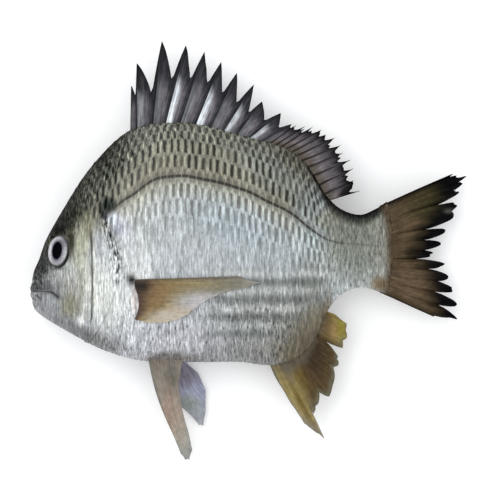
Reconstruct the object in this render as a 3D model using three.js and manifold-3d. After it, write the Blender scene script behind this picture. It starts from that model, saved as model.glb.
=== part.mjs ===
// A whole raw sea bream lying on its right flank, as one solid, in millimetres.
// X runs from the snout to the tail, Y from the belly to the back, and Z up through the body.
import * as THREE from "three";
import { mergeVertices } from "three/addons/utils/BufferGeometryUtils.js";
import Module from "manifold-3d";

// ---- Driving dimensions ----

// The trunk, from the snout to the end of the scaled tail base.
const BODY_LENGTH = 204;
const BODY_RINGS = 54;
const RING_CROWDING = 1.5; // above 1, the rings stand closer together towards the snout
const RING_POINTS = 36;
const SNOUT_LEVEL = -23.5; // height of the snout's tip
const SNOUT_ROUNDING = 2.2; // length over which the blunt snout rounds off
const TAIL_BULGE = 3.5; // how far the tail base bows out behind its corners
const TAIL_BULGE_START = 185;

// Pairs of distance from the snout and height, from the snout along the back.
const BACK_LINE = [
  [0, -16], [1.4, -12.5], [4.6, -5.4], [8, 4.4], [13.8, 15.5], [22.4, 29.8], [31, 42.8],
  [39.6, 53.3], [48.2, 62.2], [56.8, 68.4], [68.2, 71.9], [82.6, 72.8], [96.9, 71.7],
  [112.4, 68], [134.2, 61.9], [147.4, 57.4], [156, 51.2], [162.8, 41.6], [168.6, 31.8],
  [177.2, 23.6], [188.6, 20.1], [197.2, 23.2], [204, 27.8],
];

// The same along the throat and the belly.
const BELLY_LINE = [
  [0, -30.5], [2.3, -34.2], [8, -39], [16.6, -44.2], [31, -52.2], [45.3, -58.5], [62.5, -63],
  [91.2, -64], [119.8, -64], [134.2, -65.7], [145.6, -64.8], [153.1, -61.4], [159.4, -55.6],
  [164.6, -47.2], [169.2, -36], [177.2, -25.8], [188.6, -21.2], [197.2, -23], [204, -26.2],
];

// Half of the body's thickness at each distance from the snout.
const HALF_THICKNESS = [
  [0, 5.5], [3, 7.6], [8, 10.6], [16, 14], [28, 17.3], [42, 19.8], [60, 21.5], [85, 22],
  [105, 21.1], [122, 18.8], [140, 15], [158, 11], [172, 8.2], [186, 6.2], [196, 4.8], [204, 2],
];

const WIDEST = 0.51; // share of the depth, from the belly up, at which the body is widest
const BACK_SHARPNESS = 1.25; // 1 is round, more is keener
const BELLY_SHARPNESS = 0.92;
const THINNEST = 0.6; // least half thickness
const PRESSED_FLAT = 0.8; // how far the weight of the fish presses the lower flank in
const SUNK = 5; // length of a fin's root inside the body

// The eye, set in a groove all round.
const EYE = { x: 15.8, y: -0.6, halfLength: 6.2, halfHeight: 9, halfDepth: 3.4, sunk: 1.5 };
const EYE_GROOVE = { width: 0.9, depth: 0.9 };
const EYE_SIDES = 20;
const EYE_RINGS = 10;

// The mouth, a narrow groove round the front of the snout that turns down at its corner.
const MOUTH_LINE = [[-2, -23.8], [6, -23.8], [12.6, -24.3], [16.6, -27.5]];
const MOUTH_GAPE = 0.9;
const MOUTH_DEPTH = 2.2;
const MOUTH_NARROWING = 0.6; // share of the gape that is lost towards the corner
const HEAD_SPAN = 30; // more than half of the head's thickness
const LIP_SWELL = 0.7;
const LIP_HEIGHT = 3.2; // from the mouth line to the fullest part of a lip
const LIP_LENGTH = 15;
const LIP_FADE = 9; // distance from the snout at which the lips begin to fade
const LIP_EDGE = 4; // height of the flank at which a lip is at its full

// The plates of the gill cover, as pairs of height and distance from the snout.
const CHEEK_FRONT = [[-40, 22], [-20, 21], [0, 24.5], [10, 26]];
const CHEEK_REAR = [[-44, 31], [-38, 33.6], [-20, 34.7], [0, 34.7], [11, 33.5]];
const GILL_FRONT = [[-46, 33], [-38, 35], [-20, 36.2], [0, 36.2], [20, 34]];
const GILL_EDGE = [
  [-46, 38.4], [-30, 46.4], [-19, 49.3], [-10.3, 50.8], [-6.1, 51.2], [-2, 48.9], [11, 44.6],
  [20.8, 42.3],
];
const CHEEK_RISE = 0.9;
const GILL_RISE = 1.3;
const PLATE_SINK = 1.5; // how far a plate's solid reaches into the flank
const PLATE_FRONT = -0.3; // a plate's front edge starts just under the skin
const PLATE_FULL = 0.9; // share of a plate's width at which it has its full height

// Fins. Half thicknesses of a spine, a soft ray and the membrane, at the root and at the edge.
const SPINE = { root: 1.3, edge: 0.4 };
const RAY = { root: 0.95, edge: 0.32 };
const WEB = { root: 0.6, edge: 0.28 };

// Spines of the dorsal fin: where each leaves the back, its tip's X and Y, and the share of the
// way up that the membrane behind it reaches.
const DORSAL_SPINES = [
  [56.9, 57.4, 94.4, 0.82], [61.2, 60.6, 107.1, 0.45], [70.2, 75.1, 120.6, 0.58],
  [77.5, 89, 118.3, 0.63], [85.8, 99.5, 113.8, 0.67], [94.9, 109.1, 107.9, 0.63],
  [103.6, 118, 101.5, 0.6], [111, 127.8, 94.9, 0.62], [118.7, 132.7, 85.5, 0.66],
  [126, 143.3, 78.6, 0.72], [133.3, 149.5, 72.2, 0.85],
];
const DORSAL_LEAN = 0.67; // 0.5 puts the membrane's notch midway, and 1 at the next spine
const SOFT_DORSAL = {
  rays: 12,
  base: [137, 171.5],
  edge: [[153, 70.8], [180.5, 70.3], [186.6, 34.7]], // a bent line, rounded
  web: 0.9,
};

// Rays of the anal fin: where each leaves the belly, its tip's X and Y, and the membrane's share.
const ANAL_RAYS = [
  [137.2, 142, -75.8, 1], [139, 149.3, -88, 1], [141.4, 157.2, -99.8, 1],
  [144.6, 168.3, -108.7, 0.8], [148, 163, -94, 0.96], [151.4, 164.8, -87.9, 0.86],
  [154.4, 171.4, -84.6, 1], [157, 174.3, -73.4, 0.92], [160, 177.4, -65.1, 0.96],
  [162.6, 176, -61, 0.66], [165, 179, -56.2, 0.94], [167, 181.6, -50, 0.97],
  [168.6, 181, -42.5, 0.96], [169.6, 174.5, -37.2, 1],
];

const ANAL_SPINES = 3;

// Rays of the tail fin, from the upper corner to the lower: tip X and Y, and the membrane's share.
const TAIL_RAYS = [
  [242.5, 43.9, 0.98], [250.6, 42.7, 0.95], [248.1, 38.4, 0.95], [246.6, 33.8, 0.8],
  [246.2, 27.5, 0.95], [242.5, 18.6, 0.74], [239.1, 11.2, 0.82], [235.6, 3.2, 0.9],
  [231, -2.6, 0.74], [238.5, -8, 0.84], [240.4, -15.5, 0.95], [243.1, -23, 0.82],
  [244.8, -31.2, 0.84], [244.8, -39.8, 0.98], [232, -38.6, 1],
];
const TAIL_ROOT_X = 196;
const TAIL_ROOT_HEIGHTS = [24.5, -23.5];

// How each fin's edge sags below the body's middle plane, and the height and pitch of its ripples.
const DORSAL_SHEET = { sag: 0, ripple: 0.5, pitch: 9 };
const ANAL_SHEET = { sag: 4, ripple: 0.5, pitch: 5 };
const TAIL_SHEET = { sag: 9, ripple: 0.7, pitch: 6 };

// Rays of each pelvic fin: the root's X, then the tip's X and Y.
const UPPER_PELVIC = {
  rays: [[66.5, 83.5, -109.5], [70.5, 86.5, -118], [74.5, 90.4, -121.8], [78.5, 93.2, -115],
    [82.5, 90.6, -104.5], [86.5, 86.6, -91.5]],
  rootZ: 6.5,
  tipZ: -9,
};
const LOWER_PELVIC = {
  rays: [[73, 85, -90], [76, 91.5, -95], [79.5, 98.2, -102.3], [83, 101, -94],
    [86, 101, -81], [87.5, 96.5, -70.5]],
  rootZ: -6.5,
  tipZ: -18,
};
const PELVIC_ROOT_Y = -58;
const PELVIC_BOW = 2.3; // how far a pelvic ray bows forwards
const PELVIC_HANG = [-0.2, 1.1]; // shares of a ray between which the fin bends down

// Rays of each pectoral fin, which lies back along the flank: root X and Y, then tip X and Y.
const PECTORAL_RAYS = [
  [59, -17.5, 120, -15.2], [59.6, -19.5, 131.9, -18.6], [60.4, -21.6, 124, -21.6],
  [61.2, -23.7, 114, -23.6], [61.9, -25.9, 106.7, -26], [62.3, -28.2, 100.5, -29],
  [62.4, -30.5, 95.5, -32.8], [62.2, -32.8, 90.5, -36.6], [61.7, -35, 84.5, -39.9],
  [61, -37.2, 77, -41.3], [60, -39.4, 69.5, -41.4],
];
const PECTORAL_LIFT = { root: 0.4, tip: 1 }; // how far the membrane stands off the flank
const PECTORAL_SINK = 0.8; // how far its solid reaches into the flank

const SKIN_COLOUR = 0x8f918a;

// ---- Curves ----

// A smooth height through pairs of position and value, and flat beyond the first and the last.
function smoothThrough(pairs, at) {
  const last = pairs.length - 1;
  const clamped = THREE.MathUtils.clamp(at, pairs[0][0], pairs[last][0]);
  let i = 0;
  while (i < last - 1 && clamped > pairs[i + 1][0]) i += 1;
  const slopeAt = (k) => {
    const before = pairs[Math.max(k - 1, 0)];
    const after = pairs[Math.min(k + 1, last)];
    return (after[1] - before[1]) / (after[0] - before[0]);
  };
  const [x0, y0] = pairs[i];
  const [x1, y1] = pairs[i + 1];
  const step = x1 - x0;
  const t = (clamped - x0) / step;
  const rise = y0 * (1 + 2 * t) * (1 - t) ** 2 + y1 * t * t * (3 - 2 * t);
  return rise + step * (slopeAt(i) * t * (1 - t) ** 2 - slopeAt(i + 1) * t * t * (1 - t));
}

const mix = THREE.MathUtils.lerp;
const ease = THREE.MathUtils.smoothstep;
const mixPoints = (a, b, t) => a.map((value, axis) => mix(value, b[axis], t));

// ---- Solids ----

const wasm = await Module();
wasm.setup();

// A closed solid from points and triangles, turned so that its faces point out.
function solidFrom(points, triangles) {
  const loose = new THREE.BufferGeometry();
  loose.setAttribute("position", new THREE.Float32BufferAttribute(points.flat(), 3));
  loose.setIndex(triangles.flat());
  return solidFromGeometry(loose);
}

function solidFromGeometry(geometry) {
  geometry.deleteAttribute("normal");
  geometry.deleteAttribute("uv");
  const merged = mergeVertices(geometry, 1e-4);
  const corners = merged.index.array;
  const kept = [];
  for (let i = 0; i < corners.length; i += 3) {
    const [a, b, c] = corners.slice(i, i + 3);
    if (a !== b && b !== c && c !== a) kept.push([a, b, c]);
  }
  const build = (faces) =>
    new wasm.Manifold(
      new wasm.Mesh({
        numProp: 3,
        vertProperties: merged.attributes.position.array,
        triVerts: new Uint32Array(faces.flat()),
      }),
    );
  const solid = build(kept);
  return solid.volume() > 0 ? solid : build(kept.map(([a, b, c]) => [c, b, a]));
}

// The solid between an outer and an inner grid of points, with walls round the rim.
function slab(columns, rows, outerPoint, innerPoint) {
  const points = [];
  for (const pointAt of [outerPoint, innerPoint]) {
    for (let row = 0; row <= rows; row += 1) {
      for (let column = 0; column <= columns; column += 1) points.push(pointAt(column, row));
    }
  }
  const layer = (columns + 1) * (rows + 1);
  const outer = (column, row) => row * (columns + 1) + column;
  const inner = (column, row) => outer(column, row) + layer;
  const triangles = [];
  for (let row = 0; row < rows; row += 1) {
    for (let column = 0; column < columns; column += 1) {
      for (const [corner, turned] of [[outer, false], [inner, true]]) {
        const quad = [
          corner(column, row), corner(column + 1, row),
          corner(column + 1, row + 1), corner(column, row + 1),
        ];
        const [a, b, c, d] = turned ? quad.toReversed() : quad;
        // Both faces are split along the same diagonal.
        triangles.push(...(turned ? [[a, b, d], [b, c, d]] : [[a, b, c], [a, c, d]]));
      }
    }
  }
  const wall = (a, b) => {
    triangles.push([outer(...b), outer(...a), inner(...a)], [outer(...b), inner(...a), inner(...b)]);
  };
  for (let column = 0; column < columns; column += 1) {
    wall([column, 0], [column + 1, 0]);
    wall([column + 1, rows], [column, rows]);
  }
  for (let row = 0; row < rows; row += 1) {
    wall([columns, row], [columns, row + 1]);
    wall([0, row + 1], [0, row]);
  }
  return solidFrom(points, triangles);
}

// ---- The trunk ----

function sectionAt(x, inset = 0) {
  const top = smoothThrough(BACK_LINE, x) - inset;
  const bottom = smoothThrough(BELLY_LINE, x) + inset;
  const half = smoothThrough(HALF_THICKNESS, x) - inset;
  const start = Math.min(1, (x - inset) / SNOUT_ROUNDING);
  const rounding = Math.sqrt(Math.max(0, 1 - (1 - start) ** 2));
  return {
    top: mix(SNOUT_LEVEL, top, rounding),
    bottom: mix(SNOUT_LEVEL, bottom, rounding),
    half: Math.max(half, THINNEST) * rounding,
  };
}

const middleOf = ({ top, bottom }) => mix(bottom, top, WIDEST);

// The lips swell a little above and below the mouth line.
function lipSwell(x, y) {
  const fromLip = Math.abs(Math.abs(y - SNOUT_LEVEL) - LIP_HEIGHT) / LIP_HEIGHT;
  const along = 1 - ease(x, LIP_FADE, LIP_LENGTH);
  return LIP_SWELL * along * ease(x, 0, SNOUT_ROUNDING) * Math.max(0, 1 - fromLip ** 2);
}

// Height of the upper flank above the middle plane.
function flankAt(x, y) {
  const section = sectionAt(x);
  const middle = middleOf(section);
  const onBack = y > middle;
  const share = (y - middle) / (onBack ? section.top - middle : section.bottom - middle);
  const sharpness = onBack ? BACK_SHARPNESS : BELLY_SHARPNESS;
  const half = section.half * Math.max(0, 1 - share * share) ** (sharpness / 2);
  return half + lipSwell(x, y) * Math.min(1, half / LIP_EDGE);
}

const RESTING_Z = PRESSED_FLAT - Math.max(...HALF_THICKNESS.map(([, half]) => half));

// A loft of rings from the snout to the tail base, closed at both ends.
function trunk(inset = 0) {
  const points = [[inset, SNOUT_LEVEL, 0]];
  for (let ring = 1; ring <= BODY_RINGS; ring += 1) {
    const x = mix(inset, BODY_LENGTH - inset, (ring / BODY_RINGS) ** RING_CROWDING);
    const section = sectionAt(x, inset);
    const middle = middleOf(section);
    for (let k = 0; k < RING_POINTS; k += 1) {
      const angle = (2 * Math.PI * k) / RING_POINTS;
      const [along, across] = [Math.sin(angle), Math.cos(angle)];
      const onBack = along > 0;
      const reach = onBack ? section.top - middle : middle - section.bottom;
      const sharpness = onBack ? BACK_SHARPNESS : BELLY_SHARPNESS;
      const y = middle + reach * along;
      const half = section.half * Math.abs(across) ** sharpness;
      const z = half + lipSwell(x, y) * Math.min(1, half / LIP_EDGE);
      const bulge = TAIL_BULGE * across ** 2 * ease(x, TAIL_BULGE_START, BODY_LENGTH);
      points.push([x + bulge, y, Math.max(z * Math.sign(across), RESTING_Z)]);
    }
  }
  const tailEnd = sectionAt(BODY_LENGTH - inset, inset);
  points.push([BODY_LENGTH - inset + TAIL_BULGE, middleOf(tailEnd), 0]);

  const at = (ring, k) => 1 + (ring - 1) * RING_POINTS + (k % RING_POINTS);
  const triangles = [];
  for (let k = 0; k < RING_POINTS; k += 1) {
    triangles.push([0, at(1, k), at(1, k + 1)]);
    for (let ring = 1; ring < BODY_RINGS; ring += 1) {
      const [a, b] = [at(ring, k), at(ring, k + 1)];
      const [c, d] = [at(ring + 1, k + 1), at(ring + 1, k)];
      triangles.push([a, d, c], [a, c, b]);
    }
    triangles.push([points.length - 1, at(BODY_RINGS, k + 1), at(BODY_RINGS, k)]);
  }
  return solidFrom(points, triangles);
}

// ---- The head ----

const onSide = (side, [x, y, z]) => [x, y, Math.max(side * z, RESTING_Z)];

// A plate of the gill cover: it comes out of the flank in front and ends in a step behind.
function plate(side, frontEdge, rearEdge, rise) {
  const [columns, rows] = [5, 10];
  const [low, high] = [rearEdge[0][0], rearEdge.at(-1)[0]];
  const placeAt = (column, row) => {
    const y = mix(low, high, row / rows);
    const [front, rear] = [smoothThrough(frontEdge, y), smoothThrough(rearEdge, y)];
    return [mix(front, rear, column / columns), y];
  };
  const outer = (column, row) => {
    const [x, y] = placeAt(column, row);
    const across = Math.sqrt(Math.sin((Math.PI * row) / rows));
    const height = mix(PLATE_FRONT, rise, ease(column / columns, 0, PLATE_FULL) * across);
    return onSide(side, [x, y, flankAt(x, y) + height]);
  };
  const inner = (column, row) => {
    const [x, y] = placeAt(column, row);
    return onSide(side, [x, y, flankAt(x, y) - PLATE_SINK]);
  };
  return slab(columns, rows, outer, inner);
}

// An ellipsoid on the side of the head that faces the way the skin does there. A larger and
// deeper one cuts the socket.
function eyeSolid(side, grow, deeper) {
  const reach = 2;
  const slopeX = (flankAt(EYE.x + reach, EYE.y) - flankAt(EYE.x - reach, EYE.y)) / (2 * reach);
  const slopeY = (flankAt(EYE.x, EYE.y + reach) - flankAt(EYE.x, EYE.y - reach)) / (2 * reach);
  const outwards = new THREE.Vector3(-slopeX, -slopeY, side).normalize();
  const turn = new THREE.Quaternion().setFromUnitVectors(new THREE.Vector3(0, 0, 1), outwards);
  const centre = new THREE.Vector3(EYE.x, EYE.y, side * flankAt(EYE.x, EYE.y));
  centre.addScaledVector(outwards, -EYE.sunk - deeper);
  const radii = new THREE.Vector3(
    EYE.halfLength + grow, EYE.halfHeight + grow, EYE.halfDepth,
  );
  const ball = new THREE.SphereGeometry(1, EYE_SIDES, EYE_RINGS);
  ball.rotateX(Math.PI / 2);
  ball.applyMatrix4(new THREE.Matrix4().compose(centre, turn, radii));
  return solidFromGeometry(ball);
}

function mouthGroove() {
  const columns = 10;
  const [start, end] = [MOUTH_LINE[0][0], MOUTH_LINE.at(-1)[0]];
  const lipEdge = (way) => (column, row) => {
    const along = column / columns;
    const x = mix(start, end, along);
    const gape = (way * MOUTH_GAPE * (1 - MOUTH_NARROWING * along)) / 2;
    return [x, smoothThrough(MOUTH_LINE, x) + gape, mix(-HEAD_SPAN, HEAD_SPAN, row)];
  };
  return slab(columns, 1, lipEdge(1), lipEdge(-1)).subtract(trunk(MOUTH_DEPTH));
}

// ---- Fins ----

// The columns of a fan: each ray, and between two rays the membrane that joins them.
function fanColumns(rays, lean) {
  const columns = [];
  rays.forEach((ray, i) => {
    columns.push({ root: ray.root, tip: ray.tip, half: ray.half });
    const next = rays[i + 1];
    if (!next) return;
    const root = mixPoints(ray.root, next.root, lean);
    const tip = mixPoints(root, mixPoints(ray.tip, next.tip, lean), ray.web);
    columns.push({ root, tip, half: WEB });
  });
  return columns;
}

// A fan of rays as a thin solid. facesAt gives the heights of its outer and inner faces.
function fan(rays, rows, facesAt, { bow = 0, lean = 0.5 } = {}) {
  const columns = fanColumns(rays, lean);
  const pointOn = (face) => (column, row) => {
    const { root, tip, half } = columns[column];
    const along = row / rows;
    const [straightX, y] = mixPoints(root, tip, along);
    const x = straightX - bow * Math.sin(Math.PI * along);
    return [x, y, facesAt(x, y, along, mix(half.root, half.edge, along))[face]];
  };
  return slab(columns.length - 1, rows, pointOn(0), pointOn(1));
}

// Both faces of a free fin stand off a middle sheet.
const freeFaces = (sheetAt) => (x, y, along, half) => {
  const z = sheetAt(x, y, along);
  return [z + half, z - half];
};

// A middle sheet that sags towards its edge and ripples across its rays.
const rippled = ({ sag, ripple, pitch }, across) => (x, y, along) =>
  ripple * Math.sin(across(x, y) / pitch) * along - sag * along ** 2;

const alongX = (x) => x;
const alongY = (x, y) => y;

// A root on the body's outline, pushed into the body along the ray.
function sunkRoot(base, tip) {
  const length = Math.hypot(tip[0] - base[0], tip[1] - base[1]);
  return mixPoints(base, tip, -SUNK / length);
}

function outlineRay(line, [baseX, tipX, tipY, web], half) {
  const tip = [tipX, tipY];
  const base = [baseX, smoothThrough(line, baseX)];
  return { root: sunkRoot(base, tip), tip, web, half };
}

function dorsalFin() {
  const spines = DORSAL_SPINES.map((spine) => outlineRay(BACK_LINE, spine, SPINE));
  const [from, bend, to] = SOFT_DORSAL.edge.map(([x, y]) => new THREE.Vector2(x, y));
  const edge = new THREE.QuadraticBezierCurve(from, bend, to);
  const soft = Array.from({ length: SOFT_DORSAL.rays }, (_, i) => {
    const share = i / (SOFT_DORSAL.rays - 1);
    const tip = edge.getPoint(share);
    const baseX = mix(...SOFT_DORSAL.base, share);
    return outlineRay(BACK_LINE, [baseX, tip.x, tip.y, SOFT_DORSAL.web], RAY);
  });
  const faces = freeFaces(rippled(DORSAL_SHEET, alongX));
  return fan([...spines, ...soft], 4, faces, { lean: DORSAL_LEAN });
}

function analFin() {
  const rays = ANAL_RAYS.map((ray, i) => outlineRay(BELLY_LINE, ray, i < ANAL_SPINES ? SPINE : RAY));
  return fan(rays, 4, freeFaces(rippled(ANAL_SHEET, alongX)));
}

function tailFin() {
  const rays = TAIL_RAYS.map(([x, y, web], i) => {
    const share = i / (TAIL_RAYS.length - 1);
    return { root: [TAIL_ROOT_X, mix(...TAIL_ROOT_HEIGHTS, share)], tip: [x, y], web, half: RAY };
  });
  return fan(rays, 6, freeFaces(rippled(TAIL_SHEET, alongY)));
}

function pelvicFin({ rays, rootZ, tipZ }) {
  const fanned = rays.map(([rootX, tipX, tipY], i) => ({
    root: [rootX, PELVIC_ROOT_Y],
    tip: [tipX, tipY],
    web: 0.96,
    half: i === 0 ? SPINE : RAY,
  }));
  const hang = (x, y, along) => mix(rootZ, tipZ, ease(along, ...PELVIC_HANG));
  return fan(fanned, 6, freeFaces(hang), { bow: PELVIC_BOW });
}

function pectoralFin(side) {
  const rays = PECTORAL_RAYS.map(([rootX, rootY, tipX, tipY]) => ({
    root: [rootX, rootY],
    tip: [tipX, tipY],
    web: 0.97,
    half: RAY,
  }));
  const liesOnFlank = (x, y, along, half) => {
    const flank = flankAt(x, y);
    const outer = flank + mix(PECTORAL_LIFT.root, PECTORAL_LIFT.tip, along) + half;
    return [outer, flank - PECTORAL_SINK].map((z) => onSide(side, [x, y, z])[2]);
  };
  return fan(rays, 6, liesOnFlank);
}

// ---- The whole fish ----

function wholeFish() {
  let fish = trunk();
  for (const side of [1, -1]) {
    fish = fish.add(plate(side, CHEEK_FRONT, CHEEK_REAR, CHEEK_RISE));
    fish = fish.add(plate(side, GILL_FRONT, GILL_EDGE, GILL_RISE));
    fish = fish.subtract(eyeSolid(side, EYE_GROOVE.width, EYE_GROOVE.depth));
    fish = fish.add(eyeSolid(side, 0, 0));
    fish = fish.add(pectoralFin(side));
  }
  fish = fish.subtract(mouthGroove());
  const fins = [dorsalFin(), tailFin(), analFin(), pelvicFin(UPPER_PELVIC), pelvicFin(LOWER_PELVIC)];
  return fins.reduce((joined, fin) => joined.add(fin), fish);
}

function geometryOf(solid) {
  const { vertProperties, triVerts } = solid.getMesh();
  const geometry = new THREE.BufferGeometry();
  geometry.setAttribute("position", new THREE.BufferAttribute(vertProperties, 3));
  geometry.setIndex(new THREE.BufferAttribute(triVerts, 1));
  geometry.computeVertexNormals();
  return geometry;
}

const skin = new THREE.MeshStandardMaterial({
  color: SKIN_COLOUR,
  roughness: 0.35,
  metalness: 0.15,
});
const fish = new THREE.Mesh(geometryOf(wholeFish()), skin);
fish.name = "fish";

// The origin is under the middle of the fish, on the surface that it lies on.
const bounds = new THREE.Box3().setFromObject(fish);
const middle = bounds.getCenter(new THREE.Vector3());
fish.position.set(-middle.x, -middle.y, -bounds.min.z);

const part = new THREE.Group();
part.add(fish);

export default part;
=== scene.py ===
# %% [markdown]
# # A whole raw sea bream
#
# The plain solid of the fish already has its outline, its fins and its gill covers.
# In this lesson we dress it: scales that overlap, a wet silver skin, clear eyes, lips,
# and thin fins with rays. Every length is in millimetres of the fish's own drawing,
# which starts at the tip of the snout, and is turned into metres at the very end.

import math
from types import SimpleNamespace

import bpy
import numpy as np
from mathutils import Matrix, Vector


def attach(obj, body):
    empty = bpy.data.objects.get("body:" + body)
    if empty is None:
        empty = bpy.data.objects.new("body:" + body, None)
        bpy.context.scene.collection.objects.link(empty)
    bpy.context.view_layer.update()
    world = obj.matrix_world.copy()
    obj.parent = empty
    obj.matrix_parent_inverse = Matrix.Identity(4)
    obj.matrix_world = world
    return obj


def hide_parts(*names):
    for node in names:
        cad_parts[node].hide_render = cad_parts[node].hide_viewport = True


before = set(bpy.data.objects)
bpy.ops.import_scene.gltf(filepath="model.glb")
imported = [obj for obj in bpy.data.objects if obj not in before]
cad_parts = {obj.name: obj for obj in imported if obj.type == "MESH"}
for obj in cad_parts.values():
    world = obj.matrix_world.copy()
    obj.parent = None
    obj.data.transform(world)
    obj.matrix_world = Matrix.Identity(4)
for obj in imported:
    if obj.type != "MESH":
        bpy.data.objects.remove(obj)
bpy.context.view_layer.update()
bpy.ops.object.select_all(action="DESELECT")


# %% [markdown]
# ## From the drawing to the world
#
# The drawing has its zero at the snout, halfway through the body's thickness. The part
# has its zero on the floor, under the middle of the fish. One shift joins the two.
# A mesh holds thousands of points, so we read and write them all at once with numpy.

# %% Points in and out of a mesh
MILLIMETRE = 0.001
SNOUT_PLACE = np.array([-125.306, 0.6, 21.2])


def read_points(piece):
    flat = np.empty(3 * len(piece.data.vertices))
    piece.data.vertices.foreach_get("co", flat)
    return flat.reshape(-1, 3)


def write_points(piece, points):
    piece.data.vertices.foreach_set("co", points.ravel())
    piece.data.update()


def lay_points(piece, drawn):
    """Puts a piece's points where the drawing, in millimetres, says."""
    write_points(piece, (drawn + SNOUT_PLACE) * MILLIMETRE)


print("The tip of the snout comes at", SNOUT_PLACE, "mm")

# %% [markdown]
# ## Soft steps, ridges and smooth lines
#
# Hardly anything on a fish starts or stops sharply. So we say where things are with soft
# steps: one that rises, one that falls, one that does both, and a ridge that fades on
# either side of a line. Multiplied, they mark out any soft-edged patch of the body.

# %% Soft steps
def mix(low, high, share):
    return low + (high - low) * share


def ease(value, low, high):
    """Rises smoothly from 0 at low to 1 at high."""
    share = np.clip((value - low) / (high - low), 0, 1)
    return share * share * (3 - 2 * share)


def fall(value, low, high):
    """Falls smoothly from 1 at low to 0 at high."""
    return 1 - ease(value, low, high)


def within(value, low, full, still_full, high):
    """Rises from low to full, and falls again from still_full to high."""
    return ease(value, low, full) * fall(value, still_full, high)


def ridge(offset, width):
    """1 where the offset is 0, fading away on both sides."""
    return np.exp(-((offset / width) ** 2))


print("A soft step from 0 to 4 is", round(float(ease(1, 0, 4)), 2), "at 1")

# %% [markdown]
# A curve through typed points gives the body its lines. Smooth random bumps keep a
# pattern from looking ruled. They come from a few waves in random directions, drawn
# from a numbered seed, so every run gives the same fish.

# %% Smooth lines and bumps
WAVES = 7


def smooth_through(pairs, at):
    """A smooth line through pairs of position and value, flat beyond both ends."""
    places, values = np.array(pairs, float).T
    slopes = np.empty_like(values)
    slopes[1:-1] = (values[2:] - values[:-2]) / (places[2:] - places[:-2])
    slopes[0] = (values[1] - values[0]) / (places[1] - places[0])
    slopes[-1] = (values[-1] - values[-2]) / (places[-1] - places[-2])
    at = np.clip(at, places[0], places[-1])
    i = np.clip(np.searchsorted(places, at) - 1, 0, len(places) - 2)
    step = places[i + 1] - places[i]
    t = (at - places[i]) / step
    bend = slopes[i] * t * (1 - t) ** 2 - slopes[i + 1] * t * t * (1 - t)
    return values[i] * (1 + 2 * t) * (1 - t) ** 2 + values[i + 1] * t * t * (3 - 2 * t) + step * bend


def bumps(points, pitch, seed):
    """Smooth random bumps from about -1 to 1, the same on every run."""
    draw = np.random.default_rng(seed)
    total = np.zeros(len(points))
    for _ in range(WAVES):
        wave = draw.normal(size=3) / pitch
        total += np.sin(points @ wave * 2 + draw.uniform(0, 2 * math.pi))
    return total / WAVES**0.5


HILL = [(0, 0), (2, 1), (4, 0)]
print("Halfway to the top of a hill of 1, a smooth line is", float(smooth_through(HILL, 1)), "high")

# %% [markdown]
# ## The drawing of the body
#
# A fish is easiest to draw as a boat builder draws a hull: one line for the back, one
# for the belly, and one for how thick it is. These are the solid's own lines, so the
# dressed fish fills the same room. Each pair is a distance from the snout and a height
# above, or a distance from, the middle.

# %% Lines of the body
BODY_LENGTH = 204
SNOUT_LEVEL = -23.5
RESTING_LEVEL = -21.2
BACK_LINE = [
    (0, -16), (1.4, -12.5), (4.6, -5.4), (8, 4.4), (13.8, 15.5), (22.4, 29.8), (31, 42.8),
    (39.6, 53.3), (48.2, 62.2), (56.8, 68.4), (68.2, 71.9), (82.6, 72.8), (96.9, 71.7),
    (112.4, 68), (134.2, 61.9), (147.4, 57.4), (156, 51.2), (162.8, 41.6), (168.6, 31.8),
    (177.2, 23.6), (188.6, 20.1), (197.2, 23.2), (204, 27.8),
]
BELLY_LINE = [
    (0, -30.5), (2.3, -34.2), (8, -39), (16.6, -44.2), (31, -52.2), (45.3, -58.5), (62.5, -63),
    (91.2, -64), (119.8, -64), (134.2, -65.7), (145.6, -64.8), (153.1, -61.4), (159.4, -55.6),
    (164.6, -47.2), (169.2, -36), (177.2, -25.8), (188.6, -21.2), (197.2, -23), (204, -26.2),
]
HALF_THICKNESS = [
    (0, 5.5), (3, 7.6), (8, 10.6), (16, 14), (28, 17.3), (42, 19.8), (60, 21.5), (85, 22),
    (105, 21.1), (122, 18.8), (140, 15), (158, 11), (172, 8.2), (186, 6.1), (196, 4.3), (204, 1.1),
]
print("The body is", BODY_LENGTH, "mm long up to the root of the tail fin")

# %% [markdown]
# Each cross section is an oval between the back and the belly, a little keener at the
# back. A place on the skin is a distance from the snout and an angle: 0 halfway up the
# flank that shows, a quarter turn at the back, and half a turn on the flank underneath.

# %% Cross sections
QUARTER = math.pi / 2
SNOUT_ROUNDING = 2.2
WIDEST = 0.51  # how far up a section is thickest
BACK_KEENNESS = 1.25
BELLY_KEENNESS = 0.92
LEAST_REACH = 0.01


def section_at(along):
    """Top, bottom and half thickness of the cross section that far from the snout."""
    blunt = 1 - np.clip(along / SNOUT_ROUNDING, 0, 1)
    rounding = np.sqrt(np.clip(1 - blunt**2, 0, 1))
    top = mix(SNOUT_LEVEL, smooth_through(BACK_LINE, along), rounding)
    bottom = mix(SNOUT_LEVEL, smooth_through(BELLY_LINE, along), rounding)
    return top, bottom, smooth_through(HALF_THICKNESS, along) * rounding


def body_at(along, angle):
    """Height and depth of a point on the bare flank."""
    top, bottom, half = section_at(along)
    middle = mix(bottom, top, WIDEST)
    up, out = np.sin(angle), np.cos(angle)
    height = middle + np.where(up > 0, top - middle, middle - bottom) * up
    keenness = np.where(up > 0, BACK_KEENNESS, BELLY_KEENNESS)
    return height, half * np.abs(out) ** keenness * np.sign(out)


def angle_of(along, height):
    """The angle at which the flank that shows has that height."""
    top, bottom, _ = section_at(along)
    middle = mix(bottom, top, WIDEST)
    reach = np.where(height > middle, top - middle, middle - bottom)
    return np.arcsin(np.clip((height - middle) / np.maximum(reach, LEAST_REACH), -1, 1))


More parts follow.
